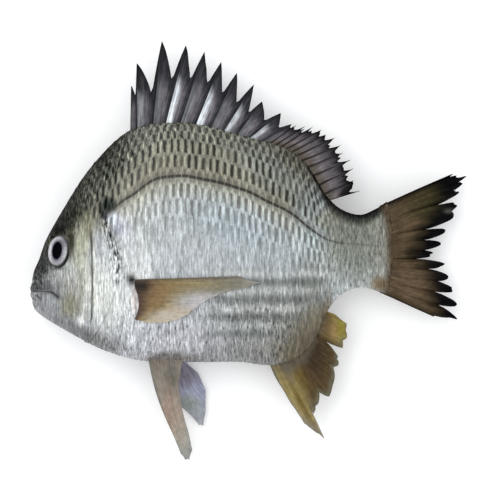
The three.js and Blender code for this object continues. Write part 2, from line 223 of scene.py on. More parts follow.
def flank_at(along, height):
    """How far the bare flank stands out from the middle plane."""
    return body_at(along, angle_of(along, height))[1]


def outwards_at(along, angle, reach=0.5, turn=0.02):
    """The direction that points straight out of the bare body."""
    fore, aft = body_at(np.maximum(along - reach, 0), angle), body_at(along + reach, angle)
    below, above = body_at(along, angle - turn), body_at(along, angle + turn)
    length = along + reach - np.maximum(along - reach, 0)
    rearward = np.stack([length, aft[0] - fore[0], aft[1] - fore[1]], axis=1)
    upward = np.stack([0 * length, above[0] - below[0], above[1] - below[1]], axis=1)
    outward = np.cross(rearward, upward)
    return outward / np.maximum(np.linalg.norm(outward, axis=1), 1e-9)[:, None]


print("The body is thickest at", round(float(flank_at(85.0, 5.0)), 1), "mm from its middle plane")

# %% [markdown]
# ## The lattice of scales
#
# Scales sit like roof tiles, in rows that follow the lateral line, each row half a scale
# out of step with the next. If every point of the skin knows its column and its row, the
# relief, the dark bars and the sheen of a scale can all be drawn from those two numbers.

# %% The lateral line and the sizes of scales
LATERAL_LINE = [
    (0, -4), (26, 6), (40, 16), (49.9, 25), (54.5, 28.8), (59.1, 31.8), (63.6, 35.2), (68.2, 38.4),
    (72.8, 40.6), (78, 41.8), (86.6, 42), (95.8, 40.8), (104.9, 38.9), (114.1, 36.6), (123.3, 33.5),
    (132.5, 29.4), (141.6, 25.2), (150.8, 19.3), (159.4, 12.2), (168.6, 6.2), (177, 4), (201.8, 2.4),
]
SCALE_LENGTHS = [(0, 2.4), (20, 2.6), (50, 3.7), (70, 4), (125, 4), (200, 2.6)]
ROW_ABOVE = 9.4  # width of a row above the lateral line
ROW_BELOW = 10
NARROWING = 0.23  # how much narrower the first row below the line is, in rows
NARROWING_REACH = 6
FULL_DEPTH = 136  # rows narrow where the body is less deep than this
LEAST_DEPTH = 12
ROW_TAPER = 0.72
CROWDED_ROWS = 2.4  # rows above this one are crowded together
CROWDING = 1.7


def above_line(along, height):
    """How far a point lies above the lateral line."""
    return height - smooth_through(LATERAL_LINE, along)


print("A scale is", SCALE_LENGTHS[0][1], "to", max(length for _, length in SCALE_LENGTHS), "mm long")

# %% [markdown]
# We measure rows along the skin itself, up or down from the lateral line, so that they
# keep their width where the body curves away. That sum is slow, so it is done once for a
# table of stations and angles, and each point of the mesh reads its row from the table.

# %% Columns and rows
TAIL_BULGE = 3.5  # how far the trunk's rear end is bowed
STATIONS = np.linspace(0, BODY_LENGTH, 205)
ANGLES = np.linspace(-QUARTER, QUARTER, 361)
FINE_STATIONS = np.linspace(0, BODY_LENGTH + TAIL_BULGE, 2000)
COLUMN_COUNT = np.cumsum((FINE_STATIONS[1] - FINE_STATIONS[0]) / smooth_through(SCALE_LENGTHS, FINE_STATIONS))
COLUMN_WANDER = 0.09
ROW_WANDER = 0.05


def table_of_rows():
    """The row number at every station and angle of one flank."""
    along, angle = np.meshgrid(STATIONS, ANGLES, indexing="ij")
    height, out = body_at(along, angle)
    steps = np.hypot(np.diff(height, axis=1), np.diff(out, axis=1))
    arc = np.concatenate([np.zeros((len(STATIONS), 1)), np.cumsum(steps, axis=1)], axis=1)
    line = angle_of(STATIONS, smooth_through(LATERAL_LINE, STATIONS))
    start = np.array([np.interp(a, ANGLES, row) for a, row in zip(line, arc)])
    top, bottom, _ = section_at(STATIONS)
    taper = (np.maximum(top - bottom, LEAST_DEPTH) / FULL_DEPTH) ** ROW_TAPER
    from_line = (arc - start[:, None]) / taper[:, None]
    below = from_line / ROW_BELOW - NARROWING * (1 - np.exp(from_line / NARROWING_REACH))
    row = np.where(from_line > 0, from_line / ROW_ABOVE, below)
    return np.where(row > CROWDED_ROWS, CROWDED_ROWS + CROWDING * (row - CROWDED_ROWS), row)


ROW_TABLE = table_of_rows()


def lattice_at(along, angle):
    """Column and row of each point of the skin."""
    column = np.interp(along, FINE_STATIONS, COLUMN_COUNT)
    folded = np.where(np.abs(angle) > QUARTER, np.sign(angle) * math.pi - angle, angle)
    i = np.clip(along / BODY_LENGTH, 0, 1) * (len(STATIONS) - 1.001)
    j = np.clip(folded / math.pi + 0.5, 0, 1) * (len(ANGLES) - 1.001)
    i0, j0 = i.astype(int), j.astype(int)
    near = mix(ROW_TABLE[i0, j0], ROW_TABLE[i0, j0 + 1], j - j0)
    far = mix(ROW_TABLE[i0 + 1, j0], ROW_TABLE[i0 + 1, j0 + 1], j - j0)
    row = mix(near, far, i - i0)
    spot = np.stack([along, 9 * folded, 20 * folded], axis=1)
    return column + COLUMN_WANDER * bumps(spot, 8, 1), row + ROW_WANDER * bumps(spot, 11, 2)


print("Scales from snout to tail:", int(COLUMN_COUNT[-1]), "columns")

# %% [markdown]
# ## One scale over the next
#
# Modelling thousands of scales one by one would fill the file with faces. Their relief is
# low, so we lift the points of the skin instead. At each point the scale that shows is
# the foremost one, of the even or the odd rows, that still reaches over it. The height
# rises towards that scale's rounded rear edge and drops there.

# %% The relief of the scales
SCALE_ROUNDING = 0.5  # how far a scale's rear edge curves back, in columns
SCALE_SLOPE = 1.2
EDGE_FALL = 0.13
EDGE_LEVEL = 0.35


def scale_relief(column, row):
    """Height of the overlapping scales from 0 to 1."""
    tips, lengths = [], []
    for stagger in (0, 1):
        off_row = row - (2 * np.round((row - stagger) / 2) + stagger)
        reach = column - stagger / 2 + SCALE_ROUNDING * off_row**2
        tips.append(np.floor(reach) + 1 + stagger / 2)
        lengths.append(1 - reach % 1)
    to_tip = np.minimum(*tips) - column
    to_edge = np.where(tips[0] < tips[1], *lengths)
    return mix(EDGE_LEVEL, 1 - to_tip / SCALE_SLOPE, ease(to_edge, 0, EDGE_FALL))


print("A scale's rear edge falls over", EDGE_FALL, "of its length")

# %% [markdown]
# ## Drawing a ball out into a body
#
# A UV sphere has rings and meridians, which is just what a fish needs: we turn it until
# its poles lie at the snout and at the tail, and then move each ring to its station.
# A cube with subdivisions would do too, but its corners would never line up with the
# rows of scales.

# %% A ball with its poles fore and aft
def start_piece(name, add_primitive, **settings):
    """Adds a primitive that is alone selected, and names it."""
    bpy.ops.object.select_all(action="DESELECT")
    add_primitive(**settings)
    piece = bpy.context.object
    piece.name = piece.data.name = name
    bpy.ops.object.shade_smooth()
    return piece


def drawn_ball(name, around, rings):
    """A ball, the ring of each of its points counted from the front pole, and the angle
    of each point round the axis."""
    sizes = dict(segments=around, ring_count=rings, radius=1, rotation=(0, QUARTER, 0))
    ball = start_piece(name, bpy.ops.mesh.primitive_uv_sphere_add, **sizes)
    bpy.ops.object.transform_apply(location=True, rotation=True, scale=True)
    points = read_points(ball)
    ring = np.rint(np.arccos(np.clip(-points[:, 0], -1, 1)) / math.pi * rings)
    return ball, ring, np.arctan2(points[:, 1], points[:, 2])


print("A ball drawn out by its rings stays closed at both poles")

# %% [markdown]
# Colours and patterns have to stay put on the skin. So each point of a piece carries
# them itself: broad colours and strengths as attributes, and the lattice of scales or
# the run of a fin's rays as a UV map.

# %% What a point knows
def write_attribute(piece, name, values):
    """Stores one number, or one colour, for every point."""
    kind = "FLOAT" if values.ndim == 1 else "FLOAT_COLOR"
    layer = piece.data.attributes.new(name, kind, "POINT")
    if kind == "FLOAT":
        layer.data.foreach_set("value", values.astype(np.float32))
    else:
        opaque = np.concatenate([values, np.ones((len(values), 1))], axis=1)
        layer.data.foreach_set("color", opaque.astype(np.float32).ravel())


def write_map(piece, name, across, up):
    """Makes the piece's only UV map from one pair of numbers for every point."""
    mesh = piece.data
    while mesh.uv_layers:
        mesh.uv_layers.remove(mesh.uv_layers[0])
    layer = mesh.uv_layers.new(name=name)
    corner = np.empty(len(mesh.loops), dtype=np.int32)
    mesh.loops.foreach_get("vertex_index", corner)
    layer.data.foreach_set("uv", np.stack([across, up], axis=1)[corner].astype(np.float32).ravel())


print("Attributes hold colours and strengths, maps hold places")

# %% [markdown]
# ## Where the head ends
#
# The gill cover is a plate with a free rear edge, and it lies over the front of the
# trunk. Above it, at the nape, head and trunk are one skin. So the head is its own piece,
# which stands proud along the gill opening and dips under the scales at the nape.

# %% The seam between head and trunk
GILL_EDGE = [
    (-60, 30), (-52, 34), (-46, 38.4), (-30, 46.4), (-19, 49.6), (-9, 50.6), (-3, 49.6),
    (4, 47.2), (12, 44.6), (20.8, 42.3), (34, 40.5), (56, 39.5),
]
GILL_TOP = (16, 23)  # heights between which the cover's edge sinks into the nape
OVERLAP = 5


def behind_seam(along, height):
    return along - smooth_through(GILL_EDGE, height)


def at_nape(height):
    """0 along the gill opening and 1 above it."""
    return ease(height, *GILL_TOP)


def scale_strength(along, height):
    """Where the skin has scales: from the nape back, but not on the snout or the cheeks."""
    nape = ease(height - smooth_through([(10, 30), (24, 22), (40, 10), (48, 6)], along), -2, 8)
    strength = np.maximum(nape * ease(along, 12, 30), ease(behind_seam(along, height), -1, 2))
    return strength * (1 - 0.45 * ease(along, 150, 200)) * fall(along, 197, 205)


print("The gill cover ends", max(along for _, along in GILL_EDGE), "mm behind the snout")

# %% [markdown]
# ## The trunk
#
# The meridians of the trunk are bent so that one of them runs along the lateral line:
# then its little tubes are drawn by whole edges of the mesh. The scales are pushed out
# along the normals, because at the back and the belly "up" is not outwards. The rear end
# is bowed, and the front hides under the gill cover.

# %% The bare trunk
TRUNK_FRONT = 26
TRUNK_RINGS = 370
TAIL_BULGE_START = 185


def bent_angle(angle, along, line):
    """Bends the meridian that starts at angle 0 onto a line along the flank."""
    tilt = angle_of(along, smooth_through(line, along))
    return angle + tilt * np.cos(angle) * np.abs(np.cos(angle))


trunk, ring, angle = drawn_ball("trunk", 256, TRUNK_RINGS)
along = mix(TRUNK_FRONT, BODY_LENGTH, np.clip((ring - 1) / (TRUNK_RINGS - 2), 0, 1))
angle = bent_angle(angle, along, LATERAL_LINE)
height, out = body_at(along, angle)
pole = (ring == 0) | (ring == TRUNK_RINGS)
height[pole] = 0
out[pole] = 0
bulge = TAIL_BULGE * np.where(pole, 1, np.cos(angle) ** 2) * ease(along, TAIL_BULGE_START, BODY_LENGTH)
trunk_bare = np.stack([along + bulge, height, out], axis=1)
print("The trunk has", len(trunk.data.polygons), "faces")

# %% [markdown]
# Now the relief: the scales, a small tube on each scale of the lateral line, and the
# front edge sunk so that the gill cover lies over it. Last, the flank that the fish
# rests on is pressed flat.

# %% The trunk's scales
SCALE_HEIGHT = 0.42
TUBE_HEIGHT = 0.22
TUBE_WIDTH = 0.085  # half the width of the lateral line's tubes, in rows
FRONT_SUNK = 1.9

trunk_column, trunk_row = lattice_at(along + bulge, angle)
relief = SCALE_HEIGHT * scale_relief(trunk_column, trunk_row) * scale_strength(along, height)
on_line = ridge(trunk_row, TUBE_WIDTH) * within(along, 48, 54, 190, 202)
relief += TUBE_HEIGHT * on_line * np.abs(np.sin(math.pi * trunk_column)) ** 0.5
from_seam = behind_seam(along, height)
under_nape = fall(from_seam, -OVERLAP - 3, -OVERLAP + 1)
under_cover = fall(from_seam, -2.5, -0.3)
relief -= FRONT_SUNK * np.where(height > GILL_TOP[0], under_nape, under_cover)
trunk_points = trunk_bare + outwards_at(along, angle) * relief[:, None]
trunk_points[:, 2] = np.maximum(trunk_points[:, 2], RESTING_LEVEL)
lay_points(trunk, trunk_points)
write_map(trunk, "lattice", trunk_column, trunk_row)
print("The relief on the trunk is up to", round(float(relief.max()), 2), "mm high")

# %% [markdown]
# ## The plates of the head
#
# The cheek and the gill cover are bony plates. Each grows gently out of the flank and
# ends in a step at its rear edge, which we draw as a line of its own. The eye sits in a
# groove, the lips swell over the cut of the mouth, and two nostrils open on the snout.

# %% Lines and sizes of the head's parts
EYE = dict(along=16.15, height=-0.7, half_length=5.7, half_height=8.8)
CHEEK_FRONT = [(-40, 22), (-20, 21), (0, 24.5), (10, 26)]
CHEEK_REAR = [(-44, 33.4), (-38, 34.6), (-20, 35.1), (0, 34.8), (11, 34.3)]
CHEEK_RISE = 0.9
CHEEK_GROOVE = dict(behind=0.75, width=0.55, depth=0.55)
GILL_FRONT = [(-46, 34), (-38, 36), (-20, 36.8), (0, 36.6), (20, 35)]
GILL_RISE = 1.25
NAPE_DIP = 1.1
MOUTH_LINE = [(-2, -23.8), (6, -23.8), (12.6, -24.3), (16.6, -27.5), (24, -29), (60, -26)]
MOUTH_CORNER = 16.6
MOUTH_GAPE = 0.55
MOUTH_DEPTH = 2.4
LIP_CREASES = [(5.6, 10, 15), (-5, 9, 14)]  # height from the mouth, where it fades out
NOSTRILS = [(8.0, -8.2, 0.75), (7.0, -11.0, 0.55)]  # distance from the snout, height, radius


def oval_distance(along, height, shape):
    """1 on the rim of an oval that is given by its middle and its half sizes."""
    right = (along - shape["along"]) / shape["half_length"]
    return np.hypot(right, (height - shape["height"]) / shape["half_height"])


print("The eye is", 2 * EYE["half_length"], "by", 2 * EYE["half_height"], "mm")

# %% [markdown]
# All of this is one sum of rises and cuts over the bare head, in millimetres. Adding the
# parts up keeps their edges soft where they meet, which cutting and joining solids would
# not.

# %% The relief of the head
def cheek_relief(along, height):
    """The cheek plate and the groove behind it."""
    front, rear = smooth_through(CHEEK_FRONT, height), smooth_through(CHEEK_REAR, height)
    low, high = CHEEK_REAR[0][0], CHEEK_REAR[-1][0]
    arch = np.sin(math.pi * np.clip((height - low) / (high - low), 0, 1))
    plate = ease((along - front) / (rear - front), 0, 0.95) * np.sqrt(np.clip(arch, 0, 1))
    plate *= fall(along - rear, -0.15, 0.5)
    groove = ridge(along - rear - CHEEK_GROOVE["behind"], CHEEK_GROOVE["width"])
    return CHEEK_RISE * plate - CHEEK_GROOVE["depth"] * groove * within(height, -43, -36, 6, 12)


def gill_relief(along, height):
    """The gill cover, and the dip of the head's edge under the nape."""
    front, edge = smooth_through(GILL_FRONT, height), smooth_through(GILL_EDGE, height)
    cover = ease((along - front) / (edge - front), 0, 1) * (1 - at_nape(height)) * ease(height, -58, -46)
    return GILL_RISE * cover - NAPE_DIP * at_nape(height) * ease(behind_seam(along, height), -OVERLAP, 0)


def eye_relief(along, height):
    """A low rim, a fine groove inside it, and the socket."""
    rim = oval_distance(along, height, EYE)
    return 0.35 * ridge(rim - 1.24, 0.13) - 0.6 * ridge(rim - 1.05, 0.07) - 2.6 * fall(rim, 0.9, 1.02)


def mouth_relief(along, height):
    """Two swollen lips, a crease beyond each, and the cut between them."""
    from_mouth = height - smooth_through(MOUTH_LINE, along)
    up_to_corner = fall(along, MOUTH_CORNER - 2, MOUTH_CORNER + 0.5)
    relief = 0.5 * ridge(np.abs(from_mouth) - 2.6, 1.7) * up_to_corner * ease(along, 0, 2)
    for at, low, high in LIP_CREASES:
        relief -= 0.35 * ridge(from_mouth - at, 0.6) * fall(along, low, high)
    return relief - MOUTH_DEPTH * fall(np.abs(from_mouth), 0.5 * MOUTH_GAPE, 1.5 * MOUTH_GAPE) * up_to_corner


def nostril_relief(along, height):
    """A rim and a hole for each nostril."""
    relief = 0
    for at, up, radius in NOSTRILS:
        distance = np.hypot(along - at, (height - up) / 1.4) / radius
        relief = relief + 0.18 * ridge(distance - 1.5, 0.4) - 0.9 * fall(distance, 0.6, 1.1)
    return relief


HEAD_PARTS = (cheek_relief, gill_relief, eye_relief, mouth_relief, nostril_relief)
print("The head's relief has", len(HEAD_PARTS), "parts")

# %% [markdown]
# ## The head
#
# The same ball again, with its rings crowded towards the snout, where the mouth, the eye
# and the nostrils need them. One meridian follows the mouth line. The last rings turn
# round the rear edge of the gill cover and run inwards, which gives the cover a
# thickness and closes the piece under the trunk's skin.

# %% The bare head
HEAD_RINGS = 300
OUTER_RINGS = 286
HEAD_CROWDING = 1.3
HEAD_GATHERING = 0.17  # how much the meridians gather round the mouth line
SEAM_ROUNDS = 40


def seam_distance(angle):
    """How far from the snout each meridian of the head ends. Each round comes closer."""
    along = np.full_like(angle, 42.0)
    for _ in range(SEAM_ROUNDS):
        height = body_at(along, bent_angle(angle, along, MOUTH_LINE))[0]
        along = mix(along, smooth_through(GILL_EDGE, height), 0.5)
    return along


head, ring, angle = drawn_ball("head", 256, HEAD_RINGS)
angle = angle - HEAD_GATHERING * np.sin(2 * angle)
along = seam_distance(angle) * np.clip(ring / OUTER_RINGS, 0, 1) ** HEAD_CROWDING
turned_in = np.clip((ring - OUTER_RINGS) / (HEAD_RINGS - OUTER_RINGS), 0, 1)
outer_angle = bent_angle(angle, along, MOUTH_LINE)
height, out = body_at(along, outer_angle)
pole = ring == HEAD_RINGS
height[pole] = -5
out[pole] = 0
head_bare = np.stack([along, height, out], axis=1)
print("The head has", len(head.data.polygons), "faces")

# %% [markdown]
# The relief goes on as it did on the trunk. The turned edge is two short curves over the
# last rings: how far they sink, and how far they run back under the cover.

# %% The head's relief and its turned edge
EDGE_TURN = [(0, 0), (0.08, -0.25), (0.16, -0.8), (0.24, -1.4), (0.5, -3.2), (1, -6)]
EDGE_BACK = [(0, 0), (0.08, 0.12), (0.16, 0.05), (0.24, -0.5), (0.5, -6), (1, -9)]

head_column, head_row = lattice_at(along, outer_angle)
relief = sum(part(along, height) for part in HEAD_PARTS)
relief += SCALE_HEIGHT * scale_relief(head_column, head_row) * scale_strength(along, height) * at_nape(height)
relief += smooth_through(EDGE_TURN, turned_in)
head_points = head_bare + outwards_at(along, outer_angle) * relief[:, None]
head_points[:, 0] += smooth_through(EDGE_BACK, turned_in)
head_points[:, 2] = np.maximum(head_points[:, 2], RESTING_LEVEL)
lay_points(head, head_points)
write_map(head, "lattice", head_column, head_row)
print("The relief on the head is up to", round(float(relief.max()), 2), "mm high")

# %% [markdown]
# ## Brushes
#
# A bream is dark olive on the back, silver on the flank and lilac-white below, with a
# yellow cheek and a black blotch over the gill opening. Broad fields like these are laid
# on as a painter would: a ground that changes with the distance from the lateral line,
# then soft ovals and lines on top. Each colour is stored on the points of the mesh.

# %% Soft brushes
STUDIO_GAIN = 1.09  # how much the studio's lights brighten a surface


def pigment(colour):
    """A colour as it looks in the studio, from 0 to 255, turned into what the skin reflects."""
    share = np.array(colour) / 255
    light = np.where(share <= 0.04045, share / 12.92, ((share + 0.055) / 1.055) ** 2.4)
    return light / STUDIO_GAIN


def ramp(pairs, at):
    """A colour that changes smoothly through pairs of position and colour."""
    places = [place for place, _ in pairs]
    colours = np.array([pigment(colour) for _, colour in pairs])
    return np.stack([np.interp(at, places, channel) for channel in colours.T], axis=1)


def paint(tones, layers):
    """Lays colours over the tones, one after the other, each where its strength says."""
    for colour, strength in layers:
        tones = mix(tones, pigment(colour), np.clip(strength, 0, 1)[:, None])
    return tones


def oval(along, height, centre, reach, lean=0):
    """1 in the middle of a soft oval, fading to 0 outside it."""
    turn = math.radians(lean)
    right, up = along - centre[0], height - centre[1]
    length = (right * math.cos(turn) + up * math.sin(turn)) / reach[0]
    width = (up * math.cos(turn) - right * math.sin(turn)) / reach[1]
    return np.exp(-((length**2 + width**2) ** 1.5))


print("White in the studio is a skin that reflects", round(float(pigment((255, 255, 255))[0]), 2))

# %% [markdown]
# ## Grounds and marks
#
# The ground is typed as pairs: a height above the lateral line, and the colour there.
# The marks are soft ovals, typed region by region: middle, reach, lean in degrees,
# colour and strength. A later mark lies over an earlier one.

# %% The ground and the marks
# The lowest step, darker at the very bottom of the belly, is painted shade where the body turns under.
GROUND = [
    (-108, (146, 148, 151)), (-92, (172, 174, 178)), (-70, (188, 191, 195)), (-45, (187, 193, 196)),
    (-22, (184, 190, 190)), (-12, (182, 186, 181)), (-6, (172, 173, 161)), (-2, (146, 145, 130)),
    (1.5, (130, 127, 112)), (5, (138, 134, 118)), (8, (136, 134, 118)), (16, (138, 137, 121)),
    (22, (128, 129, 116)), (32, (118, 119, 108)),
]
MARKS = {
    "flank": [
        # A bluish cast over the mid flank: silver skin with a painted sheen.
        ((118, 14), (34, 14), -22, (166, 180, 190), 0.55),
        ((161, 26), (9, 14), -50, (142, 156, 166), 0.5),
        ((163, 6), (12, 9), -30, (168, 184, 192), 0.6),
        ((150, -6), (30, 10), -10, (180, 190, 193), 0.6),
        # The near-white shoulder behind the gill cover: silver skin, brightened with a painted highlight.
        ((58, -18), (12, 30), 0, (236, 238, 237), 0.92),
    ],
    "belly": [
        ((66, -50), (26, 9), 0, (202, 204, 210), 0.6),
        ((92, -51), (28, 9), 0, (196, 197, 202), 0.65),
        # This broad grey oval on the low rear flank is partly painted shade, darker away from the light.
        ((134, -36), (28, 22), 0, (127, 129, 126), 0.8),
        ((128, -47), (7, 5), 0, (108, 118, 112), 0.6),
        ((146, -50), (6, 5), 0, (118, 106, 104), 0.6),
        ((118, -57), (15, 6), 0, (132, 131, 124), 0.3),
        ((130, -54), (7, 6), 0, (204, 206, 202), 0.55),
        ((160, -24), (9, 17), 0, (128, 131, 124), 0.85),
        # Painted shade along the belly's lower edge, where the body turns under.
        ((138, -60), (28, 10), 0, (124, 123, 120), 0.8),
        ((152, -46), (15, 17), 20, (118, 117, 107), 0.85),
    ],
    "roots of the anal and pelvic fins": [
        ((158, -50), (9, 18), -32, (108, 99, 82), 1.0),
        ((166, -39), (7, 9), -25, (114, 107, 88), 0.95),
        ((149, -59), (12, 6), -15, (106, 101, 88), 0.9),
        # Painted shade where the pelvic fins meet the belly.
        ((81, -61.5), (16, 3.4), 0, (108, 99, 92), 0.85),
    ],
    "back and tail base": [
        ((100, 56), (21, 9), 0, (108, 106, 94), 0.4),
        ((160, 34), (8, 12), -50, (114, 116, 112), 0.7),
        ((186, 2), (20, 22), 0, (126, 131, 122), 0.9),
        ((201, 0), (5, 22), 0, (142, 142, 132), 0.7),
        ((200, -19.5), (5.5, 5), 0, (115, 92, 52), 0.9),
        ((150, 50), (20, 9), -30, (86, 83, 70), 0.85),
        ((140, 42), (26, 10), -33, (116, 122, 118), 0.6),
    ],
    "nape and brow": [
        ((38, 48), (18, 17), 45, (70, 73, 63), 0.9),
        ((27, 26), (12, 14), 50, (66, 68, 60), 0.85),
        ((34, 14), (6, 9), 10, (136, 135, 106), 0.6),
        ((21, 16), (11, 7), 50, (36, 36, 32), 0.9),
    ],
    "snout": [
        ((15.5, 11.2), (5.5, 3.4), 10, (10, 10, 11), 1.0),
        ((7, -8), (9, 15), -15, (66, 68, 68), 0.95),
        ((15.5, -16), (4.6, 5), 0, (172, 172, 173), 0.85),
        # A thin painted shade under the rim of the eye socket.
        ((16, -10.6), (4.6, 0.9), 0, (40, 40, 38), 0.7),
    ],
    "cheek": [
        ((26, -24), (5, 7), 0, (176, 166, 160), 0.5),
        ((24, -18), (8, 6), 0, (176, 175, 168), 0.7),
        ((29, 1), (4.6, 13), 0, (187, 189, 165), 0.9),
        ((31.5, -18), (3.5, 14), 0, (180, 182, 164), 0.8),
        ((23.8, 4), (2.4, 9), 0, (56, 54, 43), 0.95),
        ((22.5, -32), (7, 9), 0, (134, 131, 108), 0.9),
        ((30, -34), (4.5, 9), 0, (164, 163, 152), 0.6),
    ],
    "jaw and throat": [
        ((7, -21.6), (11, 3.8), 0, (82, 82, 84), 0.95),
        # Painted shade in the corner of the mouth.
        ((15, -26.2), (5, 2.4), -20, (86, 86, 88), 0.85),
        ((7, -31), (10, 6), -25, (148, 148, 151), 0.95),
        # This oval and the next darken the throat's lower edge: painted shade where the body turns under.
        ((24, -45), (20, 5.5), -28, (127, 127, 129), 0.88),
        ((40, -52), (14, 6), -20, (109, 108, 107), 0.88),
    ],
    "gill cover": [
        ((40, 0), (5, 14), 0, (196, 199, 204), 0.8),
        # This white and the next two small ones, low on the gill cover: silver skin, brightened with painted
        # highlight.
        ((41, -26), (8, 19), 8, (238, 241, 235), 1.0),
        ((29.2, -40.6), (2.2, 3), 0, (244, 245, 242), 0.95),
        ((31.6, -31), (1.2, 7), -8, (232, 233, 230), 0.8),
        ((36.9, -14), (0.9, 24), 0, (226, 229, 216), 0.7),
        ((51.5, 12), (4.4, 4), 0, (128, 134, 156), 0.8),
        ((48, 17.4), (3.4, 4), 0, (222, 230, 242), 0.95),
        ((56, 8), (4.5, 12), 15, (206, 208, 216), 0.6),
        ((45, 25.4), (5.6, 5.4), -30, (34, 43, 38), 1.0),
        ((41.8, 21), (2.2, 4.5), -15, (34, 38, 34), 0.9),
    ],
    "root of the pectoral fin": [
        ((60.2, -28), (1.6, 9), 0, (196, 178, 172), 0.7),
        ((58.4, -16.8), (3.4, 3.8), 0, (4, 4, 6), 1.0),
        # A painted highlight just above the pectoral fin's upper edge.
        ((65.4, -14.6), (4.6, 2.2), 0, (240, 242, 240), 1.0),
    ],
}
print("The skin has", sum(len(marks) for marks in MARKS.values()), "marks in", len(MARKS), "regions")

# %% [markdown]
# Some shades follow a line rather than an oval: the black edge of the back, the brown
# root of the tail fin, the groove behind the cheek, darkened with painted shade, and the
# dotted line along the gill opening, partly dark speckles and partly painted shade under
# the cover's edge. Each is a ridge or a soft step, multiplied by where it starts and ends.

# %% Shades that follow lines
def back_shades(along, height):
    """The dark back, and the brown where the tail fin starts."""
    below_back = section_at(along)[0] - height
    tail_end = BODY_LENGTH + TAIL_BULGE * np.clip(1 - (height / 27) ** 2, 0, 1)
    return [
        ((24, 25, 22), np.exp(-below_back / 9) * fall(along, 46, 74) * ease(along, -1, 3)),
        ((58, 60, 56), np.exp(-((below_back / 6.5) ** 4)) * ease(along, 158, 170)),
        ((12, 12, 11), ridge(below_back, 2.6) * ease(along, 150, 164)),
        ((86, 72, 55), ease(along - tail_end, -6.5, -0.5)),
    ]


def head_shades(points, along, height):
    """The groove behind the cheek and the dotted gill opening, both with painted shade, and the nape's
    flecks.
    """
    groove = ridge(along - smooth_through(CHEEK_REAR, height) - 0.7, 0.6)
    gill_line = ridge(behind_seam(along, height) - 0.2, 2.6) * within(height, -24, -10, 18, 26)
    nape = fall(section_at(along)[0] - height, 14, 34) * fall(along, 46, 66)
    light_flecks = ease(along, 20, 32) * ease(bumps(points, 1.3, 13), 0.5, 1.2)
    return [
        # Painted shade in the groove behind the cheek plate.
        ((52, 50, 42), 0.9 * groove * within(height, -46, -38, 8, 14)),
        # Dark dots along the gill opening: dark speckles of the skin, and painted shade under the cover's
        # edge.
        ((24, 28, 42), gill_line * ease(bumps(points, 1.9, 4), -0.1, 0.5)),
        ((34, 35, 29), 0.6 * nape * ease(bumps(points, 1.0, 12), 0.1, 0.8)),
        ((126, 127, 112), 0.3 * nape * light_flecks),
    ]


print("Lines are shaded over the marks")

# %% [markdown]
# On the low rear flank the rows of scales show as dark and pale bands that run level,
# whatever the lateral line does above them. The skin round the anal fin's root takes the
# fin's own brown, so that no edge shows there.

# %% Bands, and the whole skin's colour
FIRST_BAND = -18.3  # height of the topmost dark band
BAND_PITCH = 10


def band_shades(along, height):
    """The level bands, and the brown round the root of the anal fin."""
    dark = 0.5 + 0.5 * np.cos(2 * math.pi * (height - FIRST_BAND) / BAND_PITCH)
    slant = 0.8 * (height + 40)
    banded = ease(along, 92, 112) * fall(along, 142 + slant, 156 + slant) * within(-height, 8, 14, 46, 56)
    above_belly = height - smooth_through(BELLY_LINE, along)
    return [
        ((104, 108, 105), 0.85 * banded * dark**1.3),
        ((204, 207, 204), 0.6 * banded * (1 - dark) ** 2 * ease(height, -54, -34)),
        ((104, 94, 75), 0.85 * within(along, 136, 150, 170, 175) * fall(above_belly, 2, 15)),
    ]


def skin_tones(points, along, height):
    """The colour of every point of the skin, scales' bars apart."""
    tones = ramp(GROUND, above_line(along, height))
    for region in MARKS.values():
        for centre, reach, lean, colour, strength in region:
            tones = paint(tones, [(colour, strength * oval(along, height, centre, reach, lean))])
    tones = paint(tones, back_shades(along, height))
    tones = paint(tones, head_shades(points, along, height))
    return paint(tones, band_shades(along, height))


print("The dark bands lie", BAND_PITCH, "mm apart")

# %% [markdown]
# ## How strong each pattern is
#
# The finish will draw bars, flecks, dashes and a sheen all over the skin. Four numbers
# on every point say how strong each of them is there: bars are darkest on the back,
# flecks are thickest on the nape, and the lateral line thins out towards the tail.

# %% Strengths of the patterns
BARS = [
    (-60, 0.06), (-40, 0.1), (-30, 0.22), (-21, 0.5), (-9, 0.66),
    (0, 0.8), (4, 1), (19, 1), (26, 0.85), (34, 0.75),
]
SHEEN = [(-90, 0.1), (-25, 0.06), (-2, 0.05), (6, 0.04), (25, 0.02)]


def bar_strength(along, height):
    """How dark the bar on each scale is: darkest on the back, faint on the belly."""
    strength = smooth_through(BARS, above_line(along, height))
    strength = mix(strength, np.maximum(strength, 0.2), ease(along, 120, 150))
    strength *= 1 - 0.75 * oval(along, height, (54, 2), (14, 20))
    strength *= ease(along, 14, 40) * (1 - 0.8 * ease(along, 160, 180))
    return strength * scale_strength(along, height) ** 0.5


def fleck_strength(along, height):
    """How speckled the skin is: most on the head, the nape and the belly."""
    from_seam = behind_seam(along, height)
    above = above_line(along, height)
    off_jaw = 1 - fall(along, 18, 26) * fall(height, -26, -20)
    strength = 0.22 + 0.2 * ease(along, 158, 176)
    strength += 0.08 * fall(from_seam, -6, 2) * off_jaw
    strength += 0.8 * fall(section_at(along)[0] - height, 10, 34) * fall(along, 46, 80)
    strength += 0.26 * ease(-above, 52, 72)
    strength += 0.28 * oval(along, height, (148, -42), (18, 22))
    strength += 0.9 * ridge(from_seam, 3.2) * within(height, -24, -8, 14, 22)
    strength += 0.5 * ease(above, 18, 26) * ease(from_seam, 0, 6)
    strength *= 1 - 0.7 * oval(along, height, (158, -50), (9, 18), -32)
    return np.clip(strength, 0, 1.4)


def line_strength(along, height):
    """How dark the dashes of the lateral line are."""
    return ease(along, 47, 51) * mix(0.95, 0.3, ease(along, 155, 185)) * fall(along, 194, 203)


def sheen_strength(along, height):
    """How much the rear edges of the scales shine: most behind the gill cover and low down."""
    low = smooth_through(SHEEN, above_line(along, height))
    return low * (1 - 0.8 * ease(along, 120, 160)) * scale_strength(along, height)


